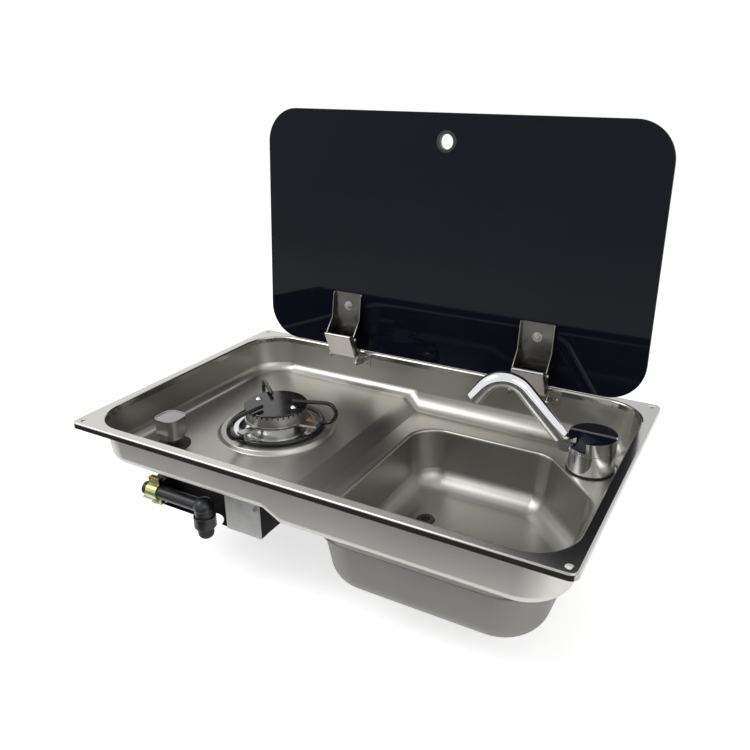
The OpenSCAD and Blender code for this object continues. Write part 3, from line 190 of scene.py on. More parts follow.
def painted_outside_tone(piece, finish, top):
    """Gives the faces that look outwards or down below this height a finish of their own, a lighter or
    darker copy of the steel that paints light or shade by the way they face.
    """
    piece.data.materials.append(finish)
    xs = [v.co.x for v in piece.data.vertices]
    ys = [v.co.y for v in piece.data.vertices]
    centre = Vector(((min(xs) + max(xs)) / 2, (min(ys) + max(ys)) / 2, 0))
    for face in piece.data.polygons:
        away = face.center - centre
        outward = face.normal.x * away.x + face.normal.y * away.y
        if face.center.z < top and (face.normal.z < -0.5 or (face.normal.z < 0.3 and outward > 0)):
            face.material_index = 1


def moved(piece, place):
    """Puts the piece in its place, keeping its object at the origin."""
    piece.matrix_world = place
    take(piece)
    bpy.ops.object.transform_apply(location=True, rotation=True, scale=True)
    return piece


def copy_of(piece, name):
    take(piece)
    bpy.ops.object.duplicate(linked=False)
    return named(name)


# ---------------------------------------------------------------- primitives
def drum(radius, low, high, x=0.0, y=0.0, steps=64):
    bpy.ops.mesh.primitive_cylinder_add(
        vertices=steps, radius=radius, depth=high - low, location=(x, y, (low + high) / 2)
    )
    bpy.ops.object.transform_apply(location=True, rotation=True, scale=True)
    return bpy.context.object


def plate(x0, x1, y0, y1, z, radii, steps=10):
    """A flat face with rounded corners: radii are for front left, front right, back right, back left."""
    bpy.ops.mesh.primitive_plane_add(size=1, location=((x0 + x1) / 2, (y0 + y1) / 2, z))
    piece = bpy.context.object
    piece.scale = (x1 - x0, y1 - y0, 1)
    bpy.ops.object.transform_apply(location=True, rotation=True, scale=True)
    edit(piece)
    for (cx, cy), radius in zip(((x0, y0), (x1, y0), (x1, y1), (x0, y1)), radii):
        if radius:
            pick("VERT", lambda v: near(v.co.x, cx) and near(v.co.y, cy))
            bevel(radius, steps, corners=True)
    leave()
    return piece


def spun(profile, steps=96):
    """A closed profile of (radius, height) points, drawn point by point and spun round Z."""
    bpy.ops.mesh.primitive_plane_add(size=1)
    piece = bpy.context.object
    edit(piece)
    bpy.ops.mesh.delete(type="VERT")
    bpy.ops.object.mode_set(mode="OBJECT")
    piece.data.from_pydata([(r, 0, z) for r, z in profile], [
        (i, (i + 1) % len(profile)) for i in range(len(profile))
    ], [])
    edit(piece)
    bpy.ops.mesh.select_all(action="SELECT")
    bpy.ops.mesh.spin(steps=steps, angle=math.radians(360), center=(0, 0, 0), axis=(0, 0, 1))
    tidy_mesh(0.002)
    leave()
    return piece


def rounded(points, radius, steps=4):
    """The same outline with its corners rounded; a radius of 0 keeps a corner sharp."""
    out = []
    count = len(points)
    for i, point in enumerate(points):
        here = Vector(point[:2])
        r = point[2] if len(point) > 2 else radius
        before, after = Vector(points[i - 1][:2]), Vector(points[(i + 1) % count][:2])
        a, b = (before - here).normalized(), (after - here).normalized()
        half = a.angle(b) / 2 if r else 0
        if not r or half > math.radians(88):
            out.append(tuple(here))
            continue
        run = r / math.tan(half)
        run = min(run, 0.49 * (before - here).length, 0.49 * (after - here).length)
        reach = run * math.tan(half)
        centre = here + (a + b).normalized() * (reach / math.sin(half))
        start, end = here + a * run - centre, here + b * run - centre
        turn = start.angle_signed(end)
        for k in range(steps + 1):
            step = -turn * k / steps
            c, s = math.cos(step), math.sin(step)
            out.append((centre.x + start.x * c - start.y * s, centre.y + start.x * s + start.y * c))
    return out


# ---------------------------------------------------------------- finishes
def shader(name, **values):
    finish = bpy.data.materials.new(name)
    finish.use_nodes = True
    body = finish.node_tree.nodes["Principled BSDF"]
    for key, value in values.items():
        body.inputs[key.replace("_", " ")].default_value = value
    return finish, finish.node_tree, body


def noise(tree, scale, detail=3.0, stretch=(1, 1, 1), rough=0.5):
    place = tree.nodes.new("ShaderNodeTexCoord")
    mapping = tree.nodes.new("ShaderNodeMapping")
    mapping.inputs["Scale"].default_value = stretch
    texture = tree.nodes.new("ShaderNodeTexNoise")
    texture.inputs["Scale"].default_value = scale
    texture.inputs["Detail"].default_value = detail
    texture.inputs["Roughness"].default_value = rough
    tree.links.new(place.outputs["Object"], mapping.inputs["Vector"])
    tree.links.new(mapping.outputs["Vector"], texture.inputs["Vector"])
    return texture.outputs["Fac"]


def blend_colours(tree, factor, stops):
    ramp = tree.nodes.new("ShaderNodeValToRGB")
    tree.links.new(factor, ramp.inputs["Fac"])
    first, last = ramp.color_ramp.elements
    first.position, first.color = stops[0][0], (*stops[0][1], 1)
    last.position, last.color = stops[-1][0], (*stops[-1][1], 1)
    for place, colour in stops[1:-1]:
        ramp.color_ramp.elements.new(place).color = (*colour, 1)
    return ramp.outputs["Color"]


def spread(tree, factor, low, high):
    ranged = tree.nodes.new("ShaderNodeMapRange")
    tree.links.new(factor, ranged.inputs["Value"])
    ranged.inputs["From Min"].default_value = 0.3
    ranged.inputs["From Max"].default_value = 0.7
    ranged.inputs["To Min"].default_value = low
    ranged.inputs["To Max"].default_value = high
    return ranged.outputs["Result"]


def roughen(tree, body, factor, strength, depth=0.0002):
    bump = tree.nodes.new("ShaderNodeBump")
    bump.inputs["Strength"].default_value = strength
    bump.inputs["Distance"].default_value = depth
    tree.links.new(factor, bump.inputs["Height"])
    tree.links.new(bump.outputs["Normal"], body.inputs["Normal"])


def metal(name, dark, light, rough, cloud=14, grain=(900, (1, 1, 1)), bump=0.08):
    """A metal whose tone and gloss drift across the sheet, with a fine grain."""
    finish, tree, body = shader(name, Metallic=1.0)
    clouds = noise(tree, cloud, 4)
    fine = noise(tree, grain[0], 2, grain[1])
    tree.links.new(blend_colours(tree, clouds, [(0.3, dark), (0.7, light)]), body.inputs["Base Color"])
    tree.links.new(spread(tree, clouds, *rough), body.inputs["Roughness"])
    roughen(tree, body, fine, bump, 0.00005)
    return finish


def coating(name, dark, light, rough, cloud=60, bump=0.1, grain=1400, gloss=0.5):
    """A paint, enamel, plastic or rubber with a slight drift in tone and a fine skin."""
    finish, tree, body = shader(name, Specular_IOR_Level=gloss)
    clouds = noise(tree, cloud, 3)
    fine = noise(tree, grain, 2)
    tree.links.new(blend_colours(tree, clouds, [(0.3, dark), (0.7, light)]), body.inputs["Base Color"])
    tree.links.new(spread(tree, clouds, *rough), body.inputs["Roughness"])
    roughen(tree, body, fine, bump, 0.00005)
    return finish


def above(tree, axis, low, high):
    """Rises from 0 to 1 between two places along an axis of the object."""
    place = tree.nodes.new("ShaderNodeTexCoord")
    split = tree.nodes.new("ShaderNodeSeparateXYZ")
    tree.links.new(place.outputs["Object"], split.inputs["Vector"])
    ranged = tree.nodes.new("ShaderNodeMapRange")
    tree.links.new(split.outputs[axis], ranged.inputs["Value"])
    ranged.inputs["From Min"].default_value = low
    ranged.inputs["From Max"].default_value = high
    return ranged.outputs["Result"]


def mixed(tree, factor, first, second, kind="RGBA"):
    """Goes from one value or colour to the other as the factor rises."""
    mix = tree.nodes.new("ShaderNodeMix")
    mix.data_type = kind
    low, high, result = {"RGBA": (6, 7, 2), "FLOAT": (2, 3, 0)}[kind]
    tree.links.new(factor, mix.inputs[0])
    for socket, value in ((mix.inputs[low], first), (mix.inputs[high], second)):
        if isinstance(value, bpy.types.NodeSocket):
            tree.links.new(value, socket)
        else:
            socket.default_value = value
    return mix.outputs[result]


LIP_HEIGHTS = (-0.009, -0.0075)
FLANGE_HEIGHTS = (-0.0012, -0.0006)
# Along X the flange's painted reflection turns from light to dark, and its polish rises.
POLISH_AND_PAINTED_REFLECTION_RUN = (0.12, 0.28)


def pan_steel():
    """Pressed steel: satin in the well; on the flange a painted reflection, lighter over most of it and
    darker at its right, where the flange is also more polished.
    """
    finish, tree, body = shader("satin_steel", Metallic=1.0)
    clouds = noise(tree, 5, 2)
    tone = blend_colours(tree, clouds, [(0.3, (0.37, 0.36, 0.335)), (0.7, (0.42, 0.41, 0.385))])
    flat = above(tree, "Z", *FLANGE_HEIGHTS)
    polish_and_painted_reflection = above(tree, "X", *POLISH_AND_PAINTED_REFLECTION_RUN)
    # Painted reflection: the flange gets a lighter tone, which turns darker at its right.
    painted_reflection_tone = mixed(tree, polish_and_painted_reflection, (0.62, 0.61, 0.57, 1), (0.42, 0.42, 0.41, 1))
    tree.links.new(mixed(tree, flat, tone, painted_reflection_tone), body.inputs["Base Color"])
    satin = spread(tree, clouds, 0.3, 0.36)
    lip = mixed(tree, above(tree, "Z", *LIP_HEIGHTS), satin, 0.15, "FLOAT")
    gloss = mixed(tree, polish_and_painted_reflection, 0.36, 0.14, "FLOAT")
    tree.links.new(mixed(tree, flat, lip, gloss, "FLOAT"), body.inputs["Roughness"])
    return finish


satin_steel = pan_steel()
hinge_steel = metal("hinge_steel", (0.38, 0.37, 0.35), (0.46, 0.45, 0.43), (0.26, 0.34), 40)
bowl_steel = metal(
    "bowl_steel", (0.33, 0.325, 0.305), (0.38, 0.37, 0.35), (0.3, 0.38), 5, (1200, (1, 0.06, 1)), 0.02
)
# Painted light: the pan's outer walls get a much lighter copy of the steel, which is also rougher.
apron_painted_light = metal("apron_painted_light", (0.6, 0.59, 0.56), (0.68, 0.67, 0.64), (0.42, 0.5), 5)
# Painted shade: the bowl's outside gets a darker copy of its steel, which is also rougher.
bowl_outside_painted_shade = metal("bowl_outside_painted_shade", (0.19, 0.188, 0.18), (0.24, 0.236, 0.225), (0.4, 0.48), 5)
bracket_steel = metal("bracket_steel", (0.13, 0.127, 0.12), (0.18, 0.175, 0.165), (0.2, 0.28), 60)
polished_steel = metal("polished_steel", (0.66, 0.66, 0.65), (0.78, 0.78, 0.77), (0.07, 0.13), 30)
cast_alloy = metal(
    "cast_alloy", (0.34, 0.34, 0.33), (0.5, 0.5, 0.49), (0.25, 0.4), 60, (700, (1, 1, 1)), 0.3
)
chrome = metal("chrome", (0.72, 0.73, 0.74), (0.8, 0.81, 0.82), (0.04, 0.07), 20)
brass = metal("brass", (0.55, 0.4, 0.15), (0.68, 0.5, 0.22), (0.2, 0.35), 60)
copper = metal("copper", (0.5, 0.25, 0.15), (0.65, 0.35, 0.22), (0.25, 0.4), 60)
zinc_sheet = metal(
    "zinc_sheet", (0.42, 0.43, 0.42), (0.58, 0.59, 0.58), (0.38, 0.55), 45, (500, (1, 1, 1)), 0.15
)
knob_silver = metal("knob_silver", (0.3, 0.3, 0.3), (0.36, 0.36, 0.36), (0.3, 0.38), 30)
black_enamel = coating("black_enamel", (0.006, 0.006, 0.006), (0.012, 0.012, 0.012), (0.12, 0.2), 80)
black_paint = coating("black_paint", (0.007, 0.008, 0.01), (0.016, 0.017, 0.02), (0.3, 0.42), 60)
black_plastic = coating("black_plastic", (0.01, 0.01, 0.011), (0.02, 0.02, 0.022), (0.25, 0.35), 60)
black_rubber = coating("black_rubber", (0.008, 0.008, 0.008), (0.016, 0.016, 0.016), (0.55, 0.7), 90, 0.25)
grey_plastic = coating("grey_plastic", (0.12, 0.12, 0.12), (0.17, 0.17, 0.17), (0.4, 0.5), 60)
grip_navy = coating("grip_navy", (0.004, 0.005, 0.013), (0.006, 0.008, 0.019), (0.06, 0.1), 30, 0.02)
dark_glass = coating(
    "dark_glass", (0.0035, 0.0045, 0.009), (0.005, 0.0065, 0.012), (0.02, 0.035), 4, 0.0, gloss=0.12
)


def yellow_passivation():
    """Zinc with the yellow and green drift of a chromate bath."""
    finish, tree, body = shader("yellow_passivation", Metallic=1.0)
    clouds = noise(tree, 120, 3)
    stops = [
        (0.3, (0.5, 0.42, 0.08)), (0.48, (0.62, 0.6, 0.22)),
        (0.6, (0.35, 0.5, 0.3)), (0.72, (0.6, 0.42, 0.2)),
    ]
    tree.links.new(blend_colours(tree, clouds, stops), body.inputs["Base Color"])
    tree.links.new(spread(tree, clouds, 0.25, 0.4), body.inputs["Roughness"])
    roughen(tree, body, noise(tree, 900, 2), 0.1, 0.00005)
    return finish


yellow_zinc = yellow_passivation()


# Where along X the painted shade inside the box starts and where it is full.
PAINTED_SHADE_FROM = (-0.214, -0.206)


def box_sheet():
    """Zinc sheet at its left end; further right, under the burner, painted shade turns it black."""
    finish, tree, body = shader("box_sheet", Metallic=1.0)
    clouds = noise(tree, 45, 3)
    zinc_tone = blend_colours(tree, clouds, [(0.3, (0.42, 0.43, 0.42)), (0.7, (0.58, 0.59, 0.58))])
    # Painted shade: the sheet turns black from here along X.
    painted_shade = above(tree, "X", *PAINTED_SHADE_FROM)
    tree.links.new(mixed(tree, painted_shade, zinc_tone, (0.012, 0.012, 0.013, 1)), body.inputs["Base Color"])
    tree.links.new(spread(tree, clouds, 0.4, 0.55), body.inputs["Roughness"])
    return finish


SPECIAL = {
    "burner_tray": box_sheet(), "tap_knob_insert": grip_navy,
    "lid_bracket_left": bracket_steel, "lid_bracket_right": bracket_steel,
}


# ---------------------------------------------------------------- camera, light and floor
CAMERA_PLACE = (0.40887, -0.69092, 0.38722)
CAMERA_DOWN, CAMERA_TURN = 21.10, 28.06
CAMERA_LENS, CAMERA_SHIFT = 35.77, (-0.0370, -0.0301)


def set_camera():
    bpy.ops.object.camera_add(
        location=CAMERA_PLACE, rotation=(math.radians(90 - CAMERA_DOWN), 0, math.radians(CAMERA_TURN))
    )
    camera = bpy.context.object
    camera.data.sensor_width = 36
    camera.data.lens = CAMERA_LENS
    camera.data.shift_x, camera.data.shift_y = CAMERA_SHIFT
    bpy.context.scene.camera = camera


def softbox(name, place, target, size, power):
    bpy.ops.object.light_add(type="AREA", location=place)
    lamp = bpy.context.object
    lamp.name = name
    lamp.data.shape = "RECTANGLE"
    lamp.data.size, lamp.data.size_y = size
    lamp.data.energy = power
    lamp.rotation_euler = (Vector(target) - Vector(place)).to_track_quat("-Z", "Y").to_euler()


def white_to_camera(tree, surface, strength=1.0):
    """The camera, and what gloss and glass mirror, sees plain white; everything else sees the surface."""
    path = tree.nodes.new("ShaderNodeLightPath")
    seen = tree.nodes.new("ShaderNodeMath")
    seen.operation = "MAXIMUM"
    glass = tree.nodes.new("ShaderNodeMath")
    glass.operation = "MAXIMUM"
    tree.links.new(path.outputs["Is Camera Ray"], seen.inputs[0])
    tree.links.new(path.outputs["Is Glossy Ray"], seen.inputs[1])
    tree.links.new(seen.outputs["Value"], glass.inputs[0])
    tree.links.new(path.outputs["Is Transmission Ray"], glass.inputs[1])
    white = tree.nodes.new("ShaderNodeEmission")
    white.inputs["Strength"].default_value = strength
    both = tree.nodes.new("ShaderNodeMixShader")
    tree.links.new(glass.outputs["Value"], both.inputs["Fac"])
    tree.links.new(surface, both.inputs[1])
    tree.links.new(white.outputs["Emission"], both.inputs[2])
    return both.outputs["Shader"]


def plain_white(tree, surface, share):
    """Adds this share of plain white for the camera and for mirrors, so that a shadow stays visible."""
    path = tree.nodes.new("ShaderNodeLightPath")
    seen = tree.nodes.new("ShaderNodeMath")
    seen.operation = "MAXIMUM"
    tree.links.new(path.outputs["Is Camera Ray"], seen.inputs[0])
    tree.links.new(path.outputs["Is Glossy Ray"], seen.inputs[1])
    strength = tree.nodes.new("ShaderNodeMath")
    strength.operation = "MULTIPLY"
    strength.inputs[1].default_value = share
    tree.links.new(seen.outputs["Value"], strength.inputs[0])
    white = tree.nodes.new("ShaderNodeEmission")
    tree.links.new(strength.outputs["Value"], white.inputs["Strength"])
    both = tree.nodes.new("ShaderNodeAddShader")
    tree.links.new(surface, both.inputs[0])
    tree.links.new(white.outputs["Emission"], both.inputs[1])
    return both.outputs["Shader"]


def mirrored_card(name, place, turn, size, tone):
    """A card that only gloss mirrors: it gives the polished steel something dark to show."""
    bpy.ops.mesh.primitive_plane_add(size=1, location=place, rotation=turn)
    card = named(name)
    card.scale = (*size, 1)
    bpy.ops.object.transform_apply(location=True, rotation=True, scale=True)
    finish = bpy.data.materials.new(name)
    finish.use_nodes = True
    tree = finish.node_tree
    tree.nodes.remove(tree.nodes["Principled BSDF"])
    path = tree.nodes.new("ShaderNodeLightPath")
    clear = tree.nodes.new("ShaderNodeBsdfTransparent")
    dark = tree.nodes.new("ShaderNodeEmission")
    dark.inputs["Color"].default_value = (tone, tone, tone, 1)
    both = tree.nodes.new("ShaderNodeMixShader")
    tree.links.new(path.outputs["Is Glossy Ray"], both.inputs["Fac"])
    tree.links.new(clear.outputs["BSDF"], both.inputs[1])
    tree.links.new(dark.outputs["Emission"], both.inputs[2])
    tree.links.new(both.outputs["Shader"], tree.nodes["Material Output"].inputs["Surface"])
    card.data.materials.append(finish)


def set_stage():
    bpy.ops.mesh.primitive_plane_add(size=16, location=(0, 0, cad_box[0].z - 0.0005))
    floor = named("floor")
    bpy.ops.object.transform_apply(location=True, rotation=True, scale=True)
    finish, tree, body = shader("pale_floor", Roughness=0.9)
    body.inputs["Base Color"].default_value = (0.9, 0.9, 0.9, 1)
    output = tree.nodes["Material Output"]
    tree.links.new(plain_white(tree, body.outputs["BSDF"], 0.6), output.inputs["Surface"])
    floor.data.materials.append(finish)

    world = bpy.data.worlds.new("studio")
    bpy.context.scene.world = world
    world.use_nodes = True
    tree = world.node_tree
    background = tree.nodes["Background"]
    background.inputs["Color"].default_value = (0.9, 0.9, 0.9, 1)
    background.inputs["Strength"].default_value = 0.5
    output = tree.nodes["World Output"]
    tree.links.new(white_to_camera(tree, background.outputs["Background"]), output.inputs["Surface"])
    mirrored_card("dark_table", (-0.1, -0.72, cad_box[0].z + 0.001), (0, 0, 0), (2.0, 0.9), 0.05)
    softbox("key", (-1.4, -1.2, 1.9), (0, 0, 0), (1.4, 1.4), 26)
    softbox("fill", (1.8, -1.3, 1.2), (0, 0, 0), (1.6, 1.2), 9)
    softbox("back", (0.2, 1.9, 1.6), (0, 0, 0), (1.8, 1.0), 5)
    bpy.context.scene.view_settings.view_transform = "Standard"


set_camera()
set_stage()

# ---------------------------------------------------------------- pan and bowl
# Half widths, half depths and corner radii of the rim and of the well, in millimetres
RIM = (300, 185, 9)
WELL = (287, 172, 48)
SHEET, LIP = 1.0, 7.0
STRIP = 5.0
SCREWS, SCREW_HOLE, SINK_HOLE = (290, 175), 2.25, (2.2, 4.6, 1.2)
RIM_ROLL, WELL_ROLL, STEP_ROLL = 2.0, 2.6, 3.5
WALL_INSET, LEDGE_INSET = 4.0, 1.0
WALL_FILLET, LEDGE_FILLET = 12.0, 24.0
HOB_Z, LEDGE_Z = -51.0, -64.0
STEP_X, LEDGE_X = -40.0, -18.0
BOWL = (8.0, 264.0, -157.0, 114.0)
BOWL_CUT, BOWL_CUT_RADII = 80, (18, 12)
BOWL_RADII = (50, 52, 38)
BOWL_Z_TOP, BOWL_FLOOR = LEDGE_Z - 3.5, -138.0
BOWL_LEAN, BOWL_FILLET, BOWL_LEDGE, BOWL_FIT = 8, 24.3, 5.5, 0.5
COLLAR = 4.0
BURNER, BURNER_HOLE = (-140.0, -5.0), 79
KNOB, KNOB_HOLE = (-228.0, -100.0), 17
TAP, TAP_HOLE = (238.0, 107.0), 12.5
DRAIN, DRAIN_HOLE = (64.0, 16.0), 10
BOSS_FOOT, BOSS_EDGE, BOSS_HOLE, BOSS_RISE = 75, 71.3, 50, 5.5
CORNER_STEPS = 20


def bowl_outline(z, grow=0.0):
    """The bowl's opening: a square corner is cut beside the tap, then all corners are rounded."""
    x0, x1, y0, y1 = BOWL[0] - grow, BOWL[1] + grow, BOWL[2] - grow, BOWL[3] + grow
    piece = plate(x0, x1, y0, y1, z, (0, 0, 0, 0))
    edit(piece)
    pick("VERT", lambda v: near(v.co.x, x1) and near(v.co.y, y1))
    bevel(BOWL_CUT, 1, corners=True)
    front_left, front_right, back_left = (radius + grow for radius in BOWL_RADII)
    cut_front, cut_back = (radius + grow * 0.4 for radius in BOWL_CUT_RADII)
    for radius, steps, test in (
        (front_left, 10, lambda v: v.co.x < x0 + 1 and v.co.y < y0 + 1),
        (front_right, 10, lambda v: v.co.x > x1 - 1 and v.co.y < y0 + 1),
        (back_left, 10, lambda v: v.co.x < x0 + 1 and v.co.y > y1 - 1),
        (cut_front, 6, lambda v: v.co.x > x1 - 1 and 0 < v.co.y < y1 - 60),
        (cut_back, 6, lambda v: near(v.co.y, y1) and 100 < v.co.x < x1 - 60),
    ):
        pick("VERT", test)
        bevel(radius, steps, corners=True)
    leave()
    return piece


def shrink(centre, inset_x, inset_y, half_x, half_y):
    bpy.ops.transform.resize(
        value=((half_x - inset_x) / half_x, (half_y - inset_y) / half_y, 1),
        center_override=(centre[0], centre[1], 0),
    )


def face_up(piece):
    """Turns the sheet so that its floor faces up."""
    floor = min(piece.data.polygons, key=lambda face: (round(face.center.z, 3), -face.area))
    if floor.normal.z < 0:
        edit(piece)
        bpy.ops.mesh.select_all(action="SELECT")
        bpy.ops.mesh.flip_normals()
        leave()


def open_top(piece, width, half_x, half_y, centre=(0, 0)):
    """Takes the top face away and lays a flat strip of this width round the opening."""
    top = max(vert.co.z for vert in piece.data.vertices)
    edit(piece)
    pick("FACE", lambda f: near(middle(f).z, top))
    bpy.ops.mesh.delete(type="FACE")
    pick("EDGE", lambda e: e.is_boundary)
    bpy.ops.mesh.extrude_region_move(TRANSFORM_OT_translate={"value": (0, 0, 0)})
    shrink(centre, -width, -width, half_x, half_y)
    bpy.ops.mesh.select_all(action="SELECT")
    bpy.ops.mesh.normals_make_consistent(inside=False)
    leave()


def inner_edge(e, top):
    """Edges where the strip round an opening meets the wall."""
    if len(e.link_faces) != 2 or not all(near(v.co.z, top) for v in e.verts):
        return False
    flat = [abs(f.normal.z) > 0.9 for f in e.link_faces]
    return flat[0] != flat[1]


def floor_edge(e, low):
    """Edges between a wall and a floor that lie below this height."""
    if len(e.link_faces) != 2 or middle(e).z > low:
        return False
    steep = [abs(f.normal.z) < 0.3 for f in e.link_faces]
    return steep[0] != steep[1]


def step_edge(e):
    a, b = (v.co for v in e.verts)
    if middle(e).z > -39 or abs(a.x - b.x) > 0.3:
        return False
    return near(a.x, STEP_X, 0.8) or near(a.x, LEDGE_X, 0.8)


def corner_turn(place):
    """How far round the back right corner a place lies: 0 at the side wall, 1 at the back wall."""
    return math.atan2(place.y - (WELL[1] - WELL[2]), place.x - (WELL[0] - WELL[2])) / math.radians(90)


def weigh(test, more):
    """Adds to the share of the widest fillet that these edges take."""
    pick("EDGE", test)
    bpy.ops.transform.edge_bevelweight(value=more)


def make_well():
    """The pressed well: leaning walls, rounded floor edges, and a slope from hob deck to sink ledge."""
    well = plate(-WELL[0], WELL[0], -WELL[1], WELL[1], 0, [WELL[2]] * 4, 14)
    edit(well)
    for x in (STEP_X, LEDGE_X):
        bpy.ops.mesh.select_all(action="SELECT")
        bpy.ops.mesh.bisect(plane_co=(x, 0, 0), plane_no=(1, 0, 0))
    bpy.ops.mesh.select_all(action="SELECT")
    extrude(0, 0, HOB_Z)
    shrink((0, 0), WALL_INSET, WALL_INSET, WELL[0], WELL[1])
    pick("VERT", lambda v: v.co.z < HOB_Z + 0.1 and v.co.x > LEDGE_X - 0.5)
    bpy.ops.transform.translate(value=(0, 0, LEDGE_Z - HOB_Z))
    shrink((0, 0), LEDGE_INSET, LEDGE_INSET, WELL[0], WELL[1])
    leave()
    open_top(well, STRIP, WELL[0], WELL[1])
    edit(well)
    pick("EDGE", lambda e: inner_edge(e, 0))
    bevel(WELL_ROLL, 5)
    weigh(lambda e: floor_edge(e, HOB_Z + 1), WALL_FILLET / LEDGE_FILLET)
    for k in range(CORNER_STEPS):
        turn = (k + 0.5) / CORNER_STEPS
        weigh(
            lambda e: floor_edge(e, HOB_Z + 1) and middle(e).x > 240 and middle(e).y > 100
            and turn - 0.026 < corner_turn(middle(e)) <= turn + 0.025,
            turn * (1 - WALL_FILLET / LEDGE_FILLET),
        )
    weigh(
        lambda e: floor_edge(e, HOB_Z + 1) and middle(e).y > 160 and LEDGE_X < middle(e).x <= 240,
        1 - WALL_FILLET / LEDGE_FILLET,
    )
    weigh(
        lambda e: floor_edge(e, HOB_Z + 1) and middle(e).y > 160 and STEP_X < middle(e).x < LEDGE_X,
        0.4 * (1 - WALL_FILLET / LEDGE_FILLET),
    )
    leave()
    add(
        well, "BEVEL", width=LEDGE_FILLET, segments=9, limit_method="WEIGHT",
        loop_slide=False, use_clamp_overlap=False,
    )
    edit(well)
    pick("EDGE", step_edge)
    bevel(STEP_ROLL, 4)
    leave()
    face_up(well)
    add(well, "SOLIDIFY", thickness=SHEET, offset=-1.0, use_even_offset=False)
    return well


def bowl_cutter():
    """The bowl's opening with a rolled edge where it meets the ledge."""
    roll, steps = 3.0, 6
    tool = bowl_outline(LEDGE_Z - 8)
    edit(tool)
    bpy.ops.mesh.select_all(action="SELECT")
    extrude(0, 0, 8 - roll)
    centre = ((BOWL[0] + BOWL[1]) / 2, (BOWL[2] + BOWL[3]) / 2)
    half_x, half_y = (BOWL[1] - BOWL[0]) / 2, (BOWL[3] - BOWL[2]) / 2
    grown = 0.0
    for k in range(1, steps + 1):
        a, b = math.radians(90 * (k - 1) / steps), math.radians(90 * k / steps)
        extrude(0, 0, roll * (math.sin(b) - math.sin(a)))
        more = roll * (math.cos(a) - math.cos(b))
        shrink(centre, -more, -more, half_x + grown, half_y + grown)
        grown += more
    extrude(0, 0, 14)
    bpy.ops.mesh.select_all(action="SELECT")
    bpy.ops.mesh.normals_make_consistent(inside=False)
    leave()
    return tool


def make_flange():
    """The flat flange round the well, with its folded lip and four countersunk screw holes."""
    flange = plate(-RIM[0], RIM[0], -RIM[1], RIM[1], 0, [RIM[2]] * 4, 10)
    edit(flange)
    bpy.ops.mesh.select_all(action="SELECT")
    extrude(0, 0, -LIP)
    pick("EDGE", lambda e: near(e.verts[0].co.z, 0) and near(e.verts[1].co.z, 0))
    bevel(RIM_ROLL, 5)
    bpy.ops.mesh.select_all(action="SELECT")
    bpy.ops.mesh.normals_make_consistent(inside=False)
    leave()
    half_x, half_y, corner = (size - SHEET for size in RIM)
    under = plate(-half_x, half_x, -half_y, half_y, -LIP - 2, [corner] * 4, 10)
    edit(under)
    bpy.ops.mesh.select_all(action="SELECT")
    extrude(0, 0, LIP + 2 - SHEET)
    pick("EDGE", lambda e: near(e.verts[0].co.z, -SHEET) and near(e.verts[1].co.z, -SHEET))
    bevel(1.2, 3)
    bpy.ops.mesh.select_all(action="SELECT")
    bpy.ops.mesh.normals_make_consistent(inside=False)
    leave()
    cut(flange, under)
    middle_hole = plate(-WELL[0], WELL[0], -WELL[1], WELL[1], -4, [WELL[2]] * 4, 14)
    edit(middle_hole)
    bpy.ops.mesh.select_all(action="SELECT")
    shrink((0, 0), -STRIP, -STRIP, WELL[0], WELL[1])
    extrude(0, 0, 8)
    bpy.ops.mesh.select_all(action="SELECT")
    bpy.ops.mesh.normals_make_consistent(inside=False)
    leave()
    cut(flange, middle_hole)
    for x in (-SCREWS[0], SCREWS[0]):
        for y in (-SCREWS[1], SCREWS[1]):
            cut(flange, drum(SCREW_HOLE, -4, 4, x, y, 32))
            low, high, deep = SINK_HOLE
            bpy.ops.mesh.primitive_cone_add(
                vertices=32, radius1=low, radius2=high, depth=deep, location=(x, y, -0.5)
            )
            bpy.ops.object.transform_apply(location=True, rotation=True, scale=True)
            cut(flange, bpy.context.object)
    return flange


def boss_ring():
    """The raised ring round the burner, with a hollow foot and a soft shoulder."""
    top = HOB_Z + BOSS_RISE
    return spun(rounded([
        (BURNER_HOLE, HOB_Z, 0), (BOSS_FOOT, HOB_Z, 3), (BOSS_EDGE, top, 2.2), (BOSS_HOLE, top, 0),
        (BOSS_HOLE, top - SHEET, 0), (BOSS_EDGE - 0.6, top - SHEET, 1.2),
        (BOSS_FOOT - 0.6, HOB_Z - SHEET, 4), (BURNER_HOLE, HOB_Z - SHEET, 0),
    ], 0, 5))


def make_pan():
    well = make_well()
    collar = bowl_outline(BOWL_Z_TOP, COLLAR)
    edit(collar)
    bpy.ops.mesh.select_all(action="SELECT")
    extrude(0, 0, LEDGE_Z - 0.5 - BOWL_Z_TOP)
    bpy.ops.mesh.select_all(action="SELECT")
    bpy.ops.mesh.normals_make_consistent(inside=False)
    leave()
    cut(well, collar, "UNION")
    cut(well, bowl_cutter())
    edit(well)
    pick("FACE", lambda f: len(f.verts) > 20)
    bpy.ops.mesh.quads_convert_to_tris(quad_method="BEAUTY", ngon_method="BEAUTY")
    leave()
    cut(well, drum(BURNER_HOLE, HOB_Z - 4, HOB_Z + 4, *BURNER, steps=96))
    cut(well, drum(KNOB_HOLE, HOB_Z - 4, HOB_Z + 4, *KNOB))
    cut(well, drum(TAP_HOLE, LEDGE_Z - 4, LEDGE_Z + 4, *TAP))
    ring = boss_ring()
    moved(ring, Matrix.Translation((*BURNER, 0)))
    pan = join(well, make_flange(), ring)
    named("tray_with_flange")
    finish_piece(pan, "pan_unit", satin_steel, ["pan"], 28)
    # The outer walls take the lighter copy of the steel as painted light.
    painted_outside_tone(pan, apron_painted_light, -0.008)
    return pan


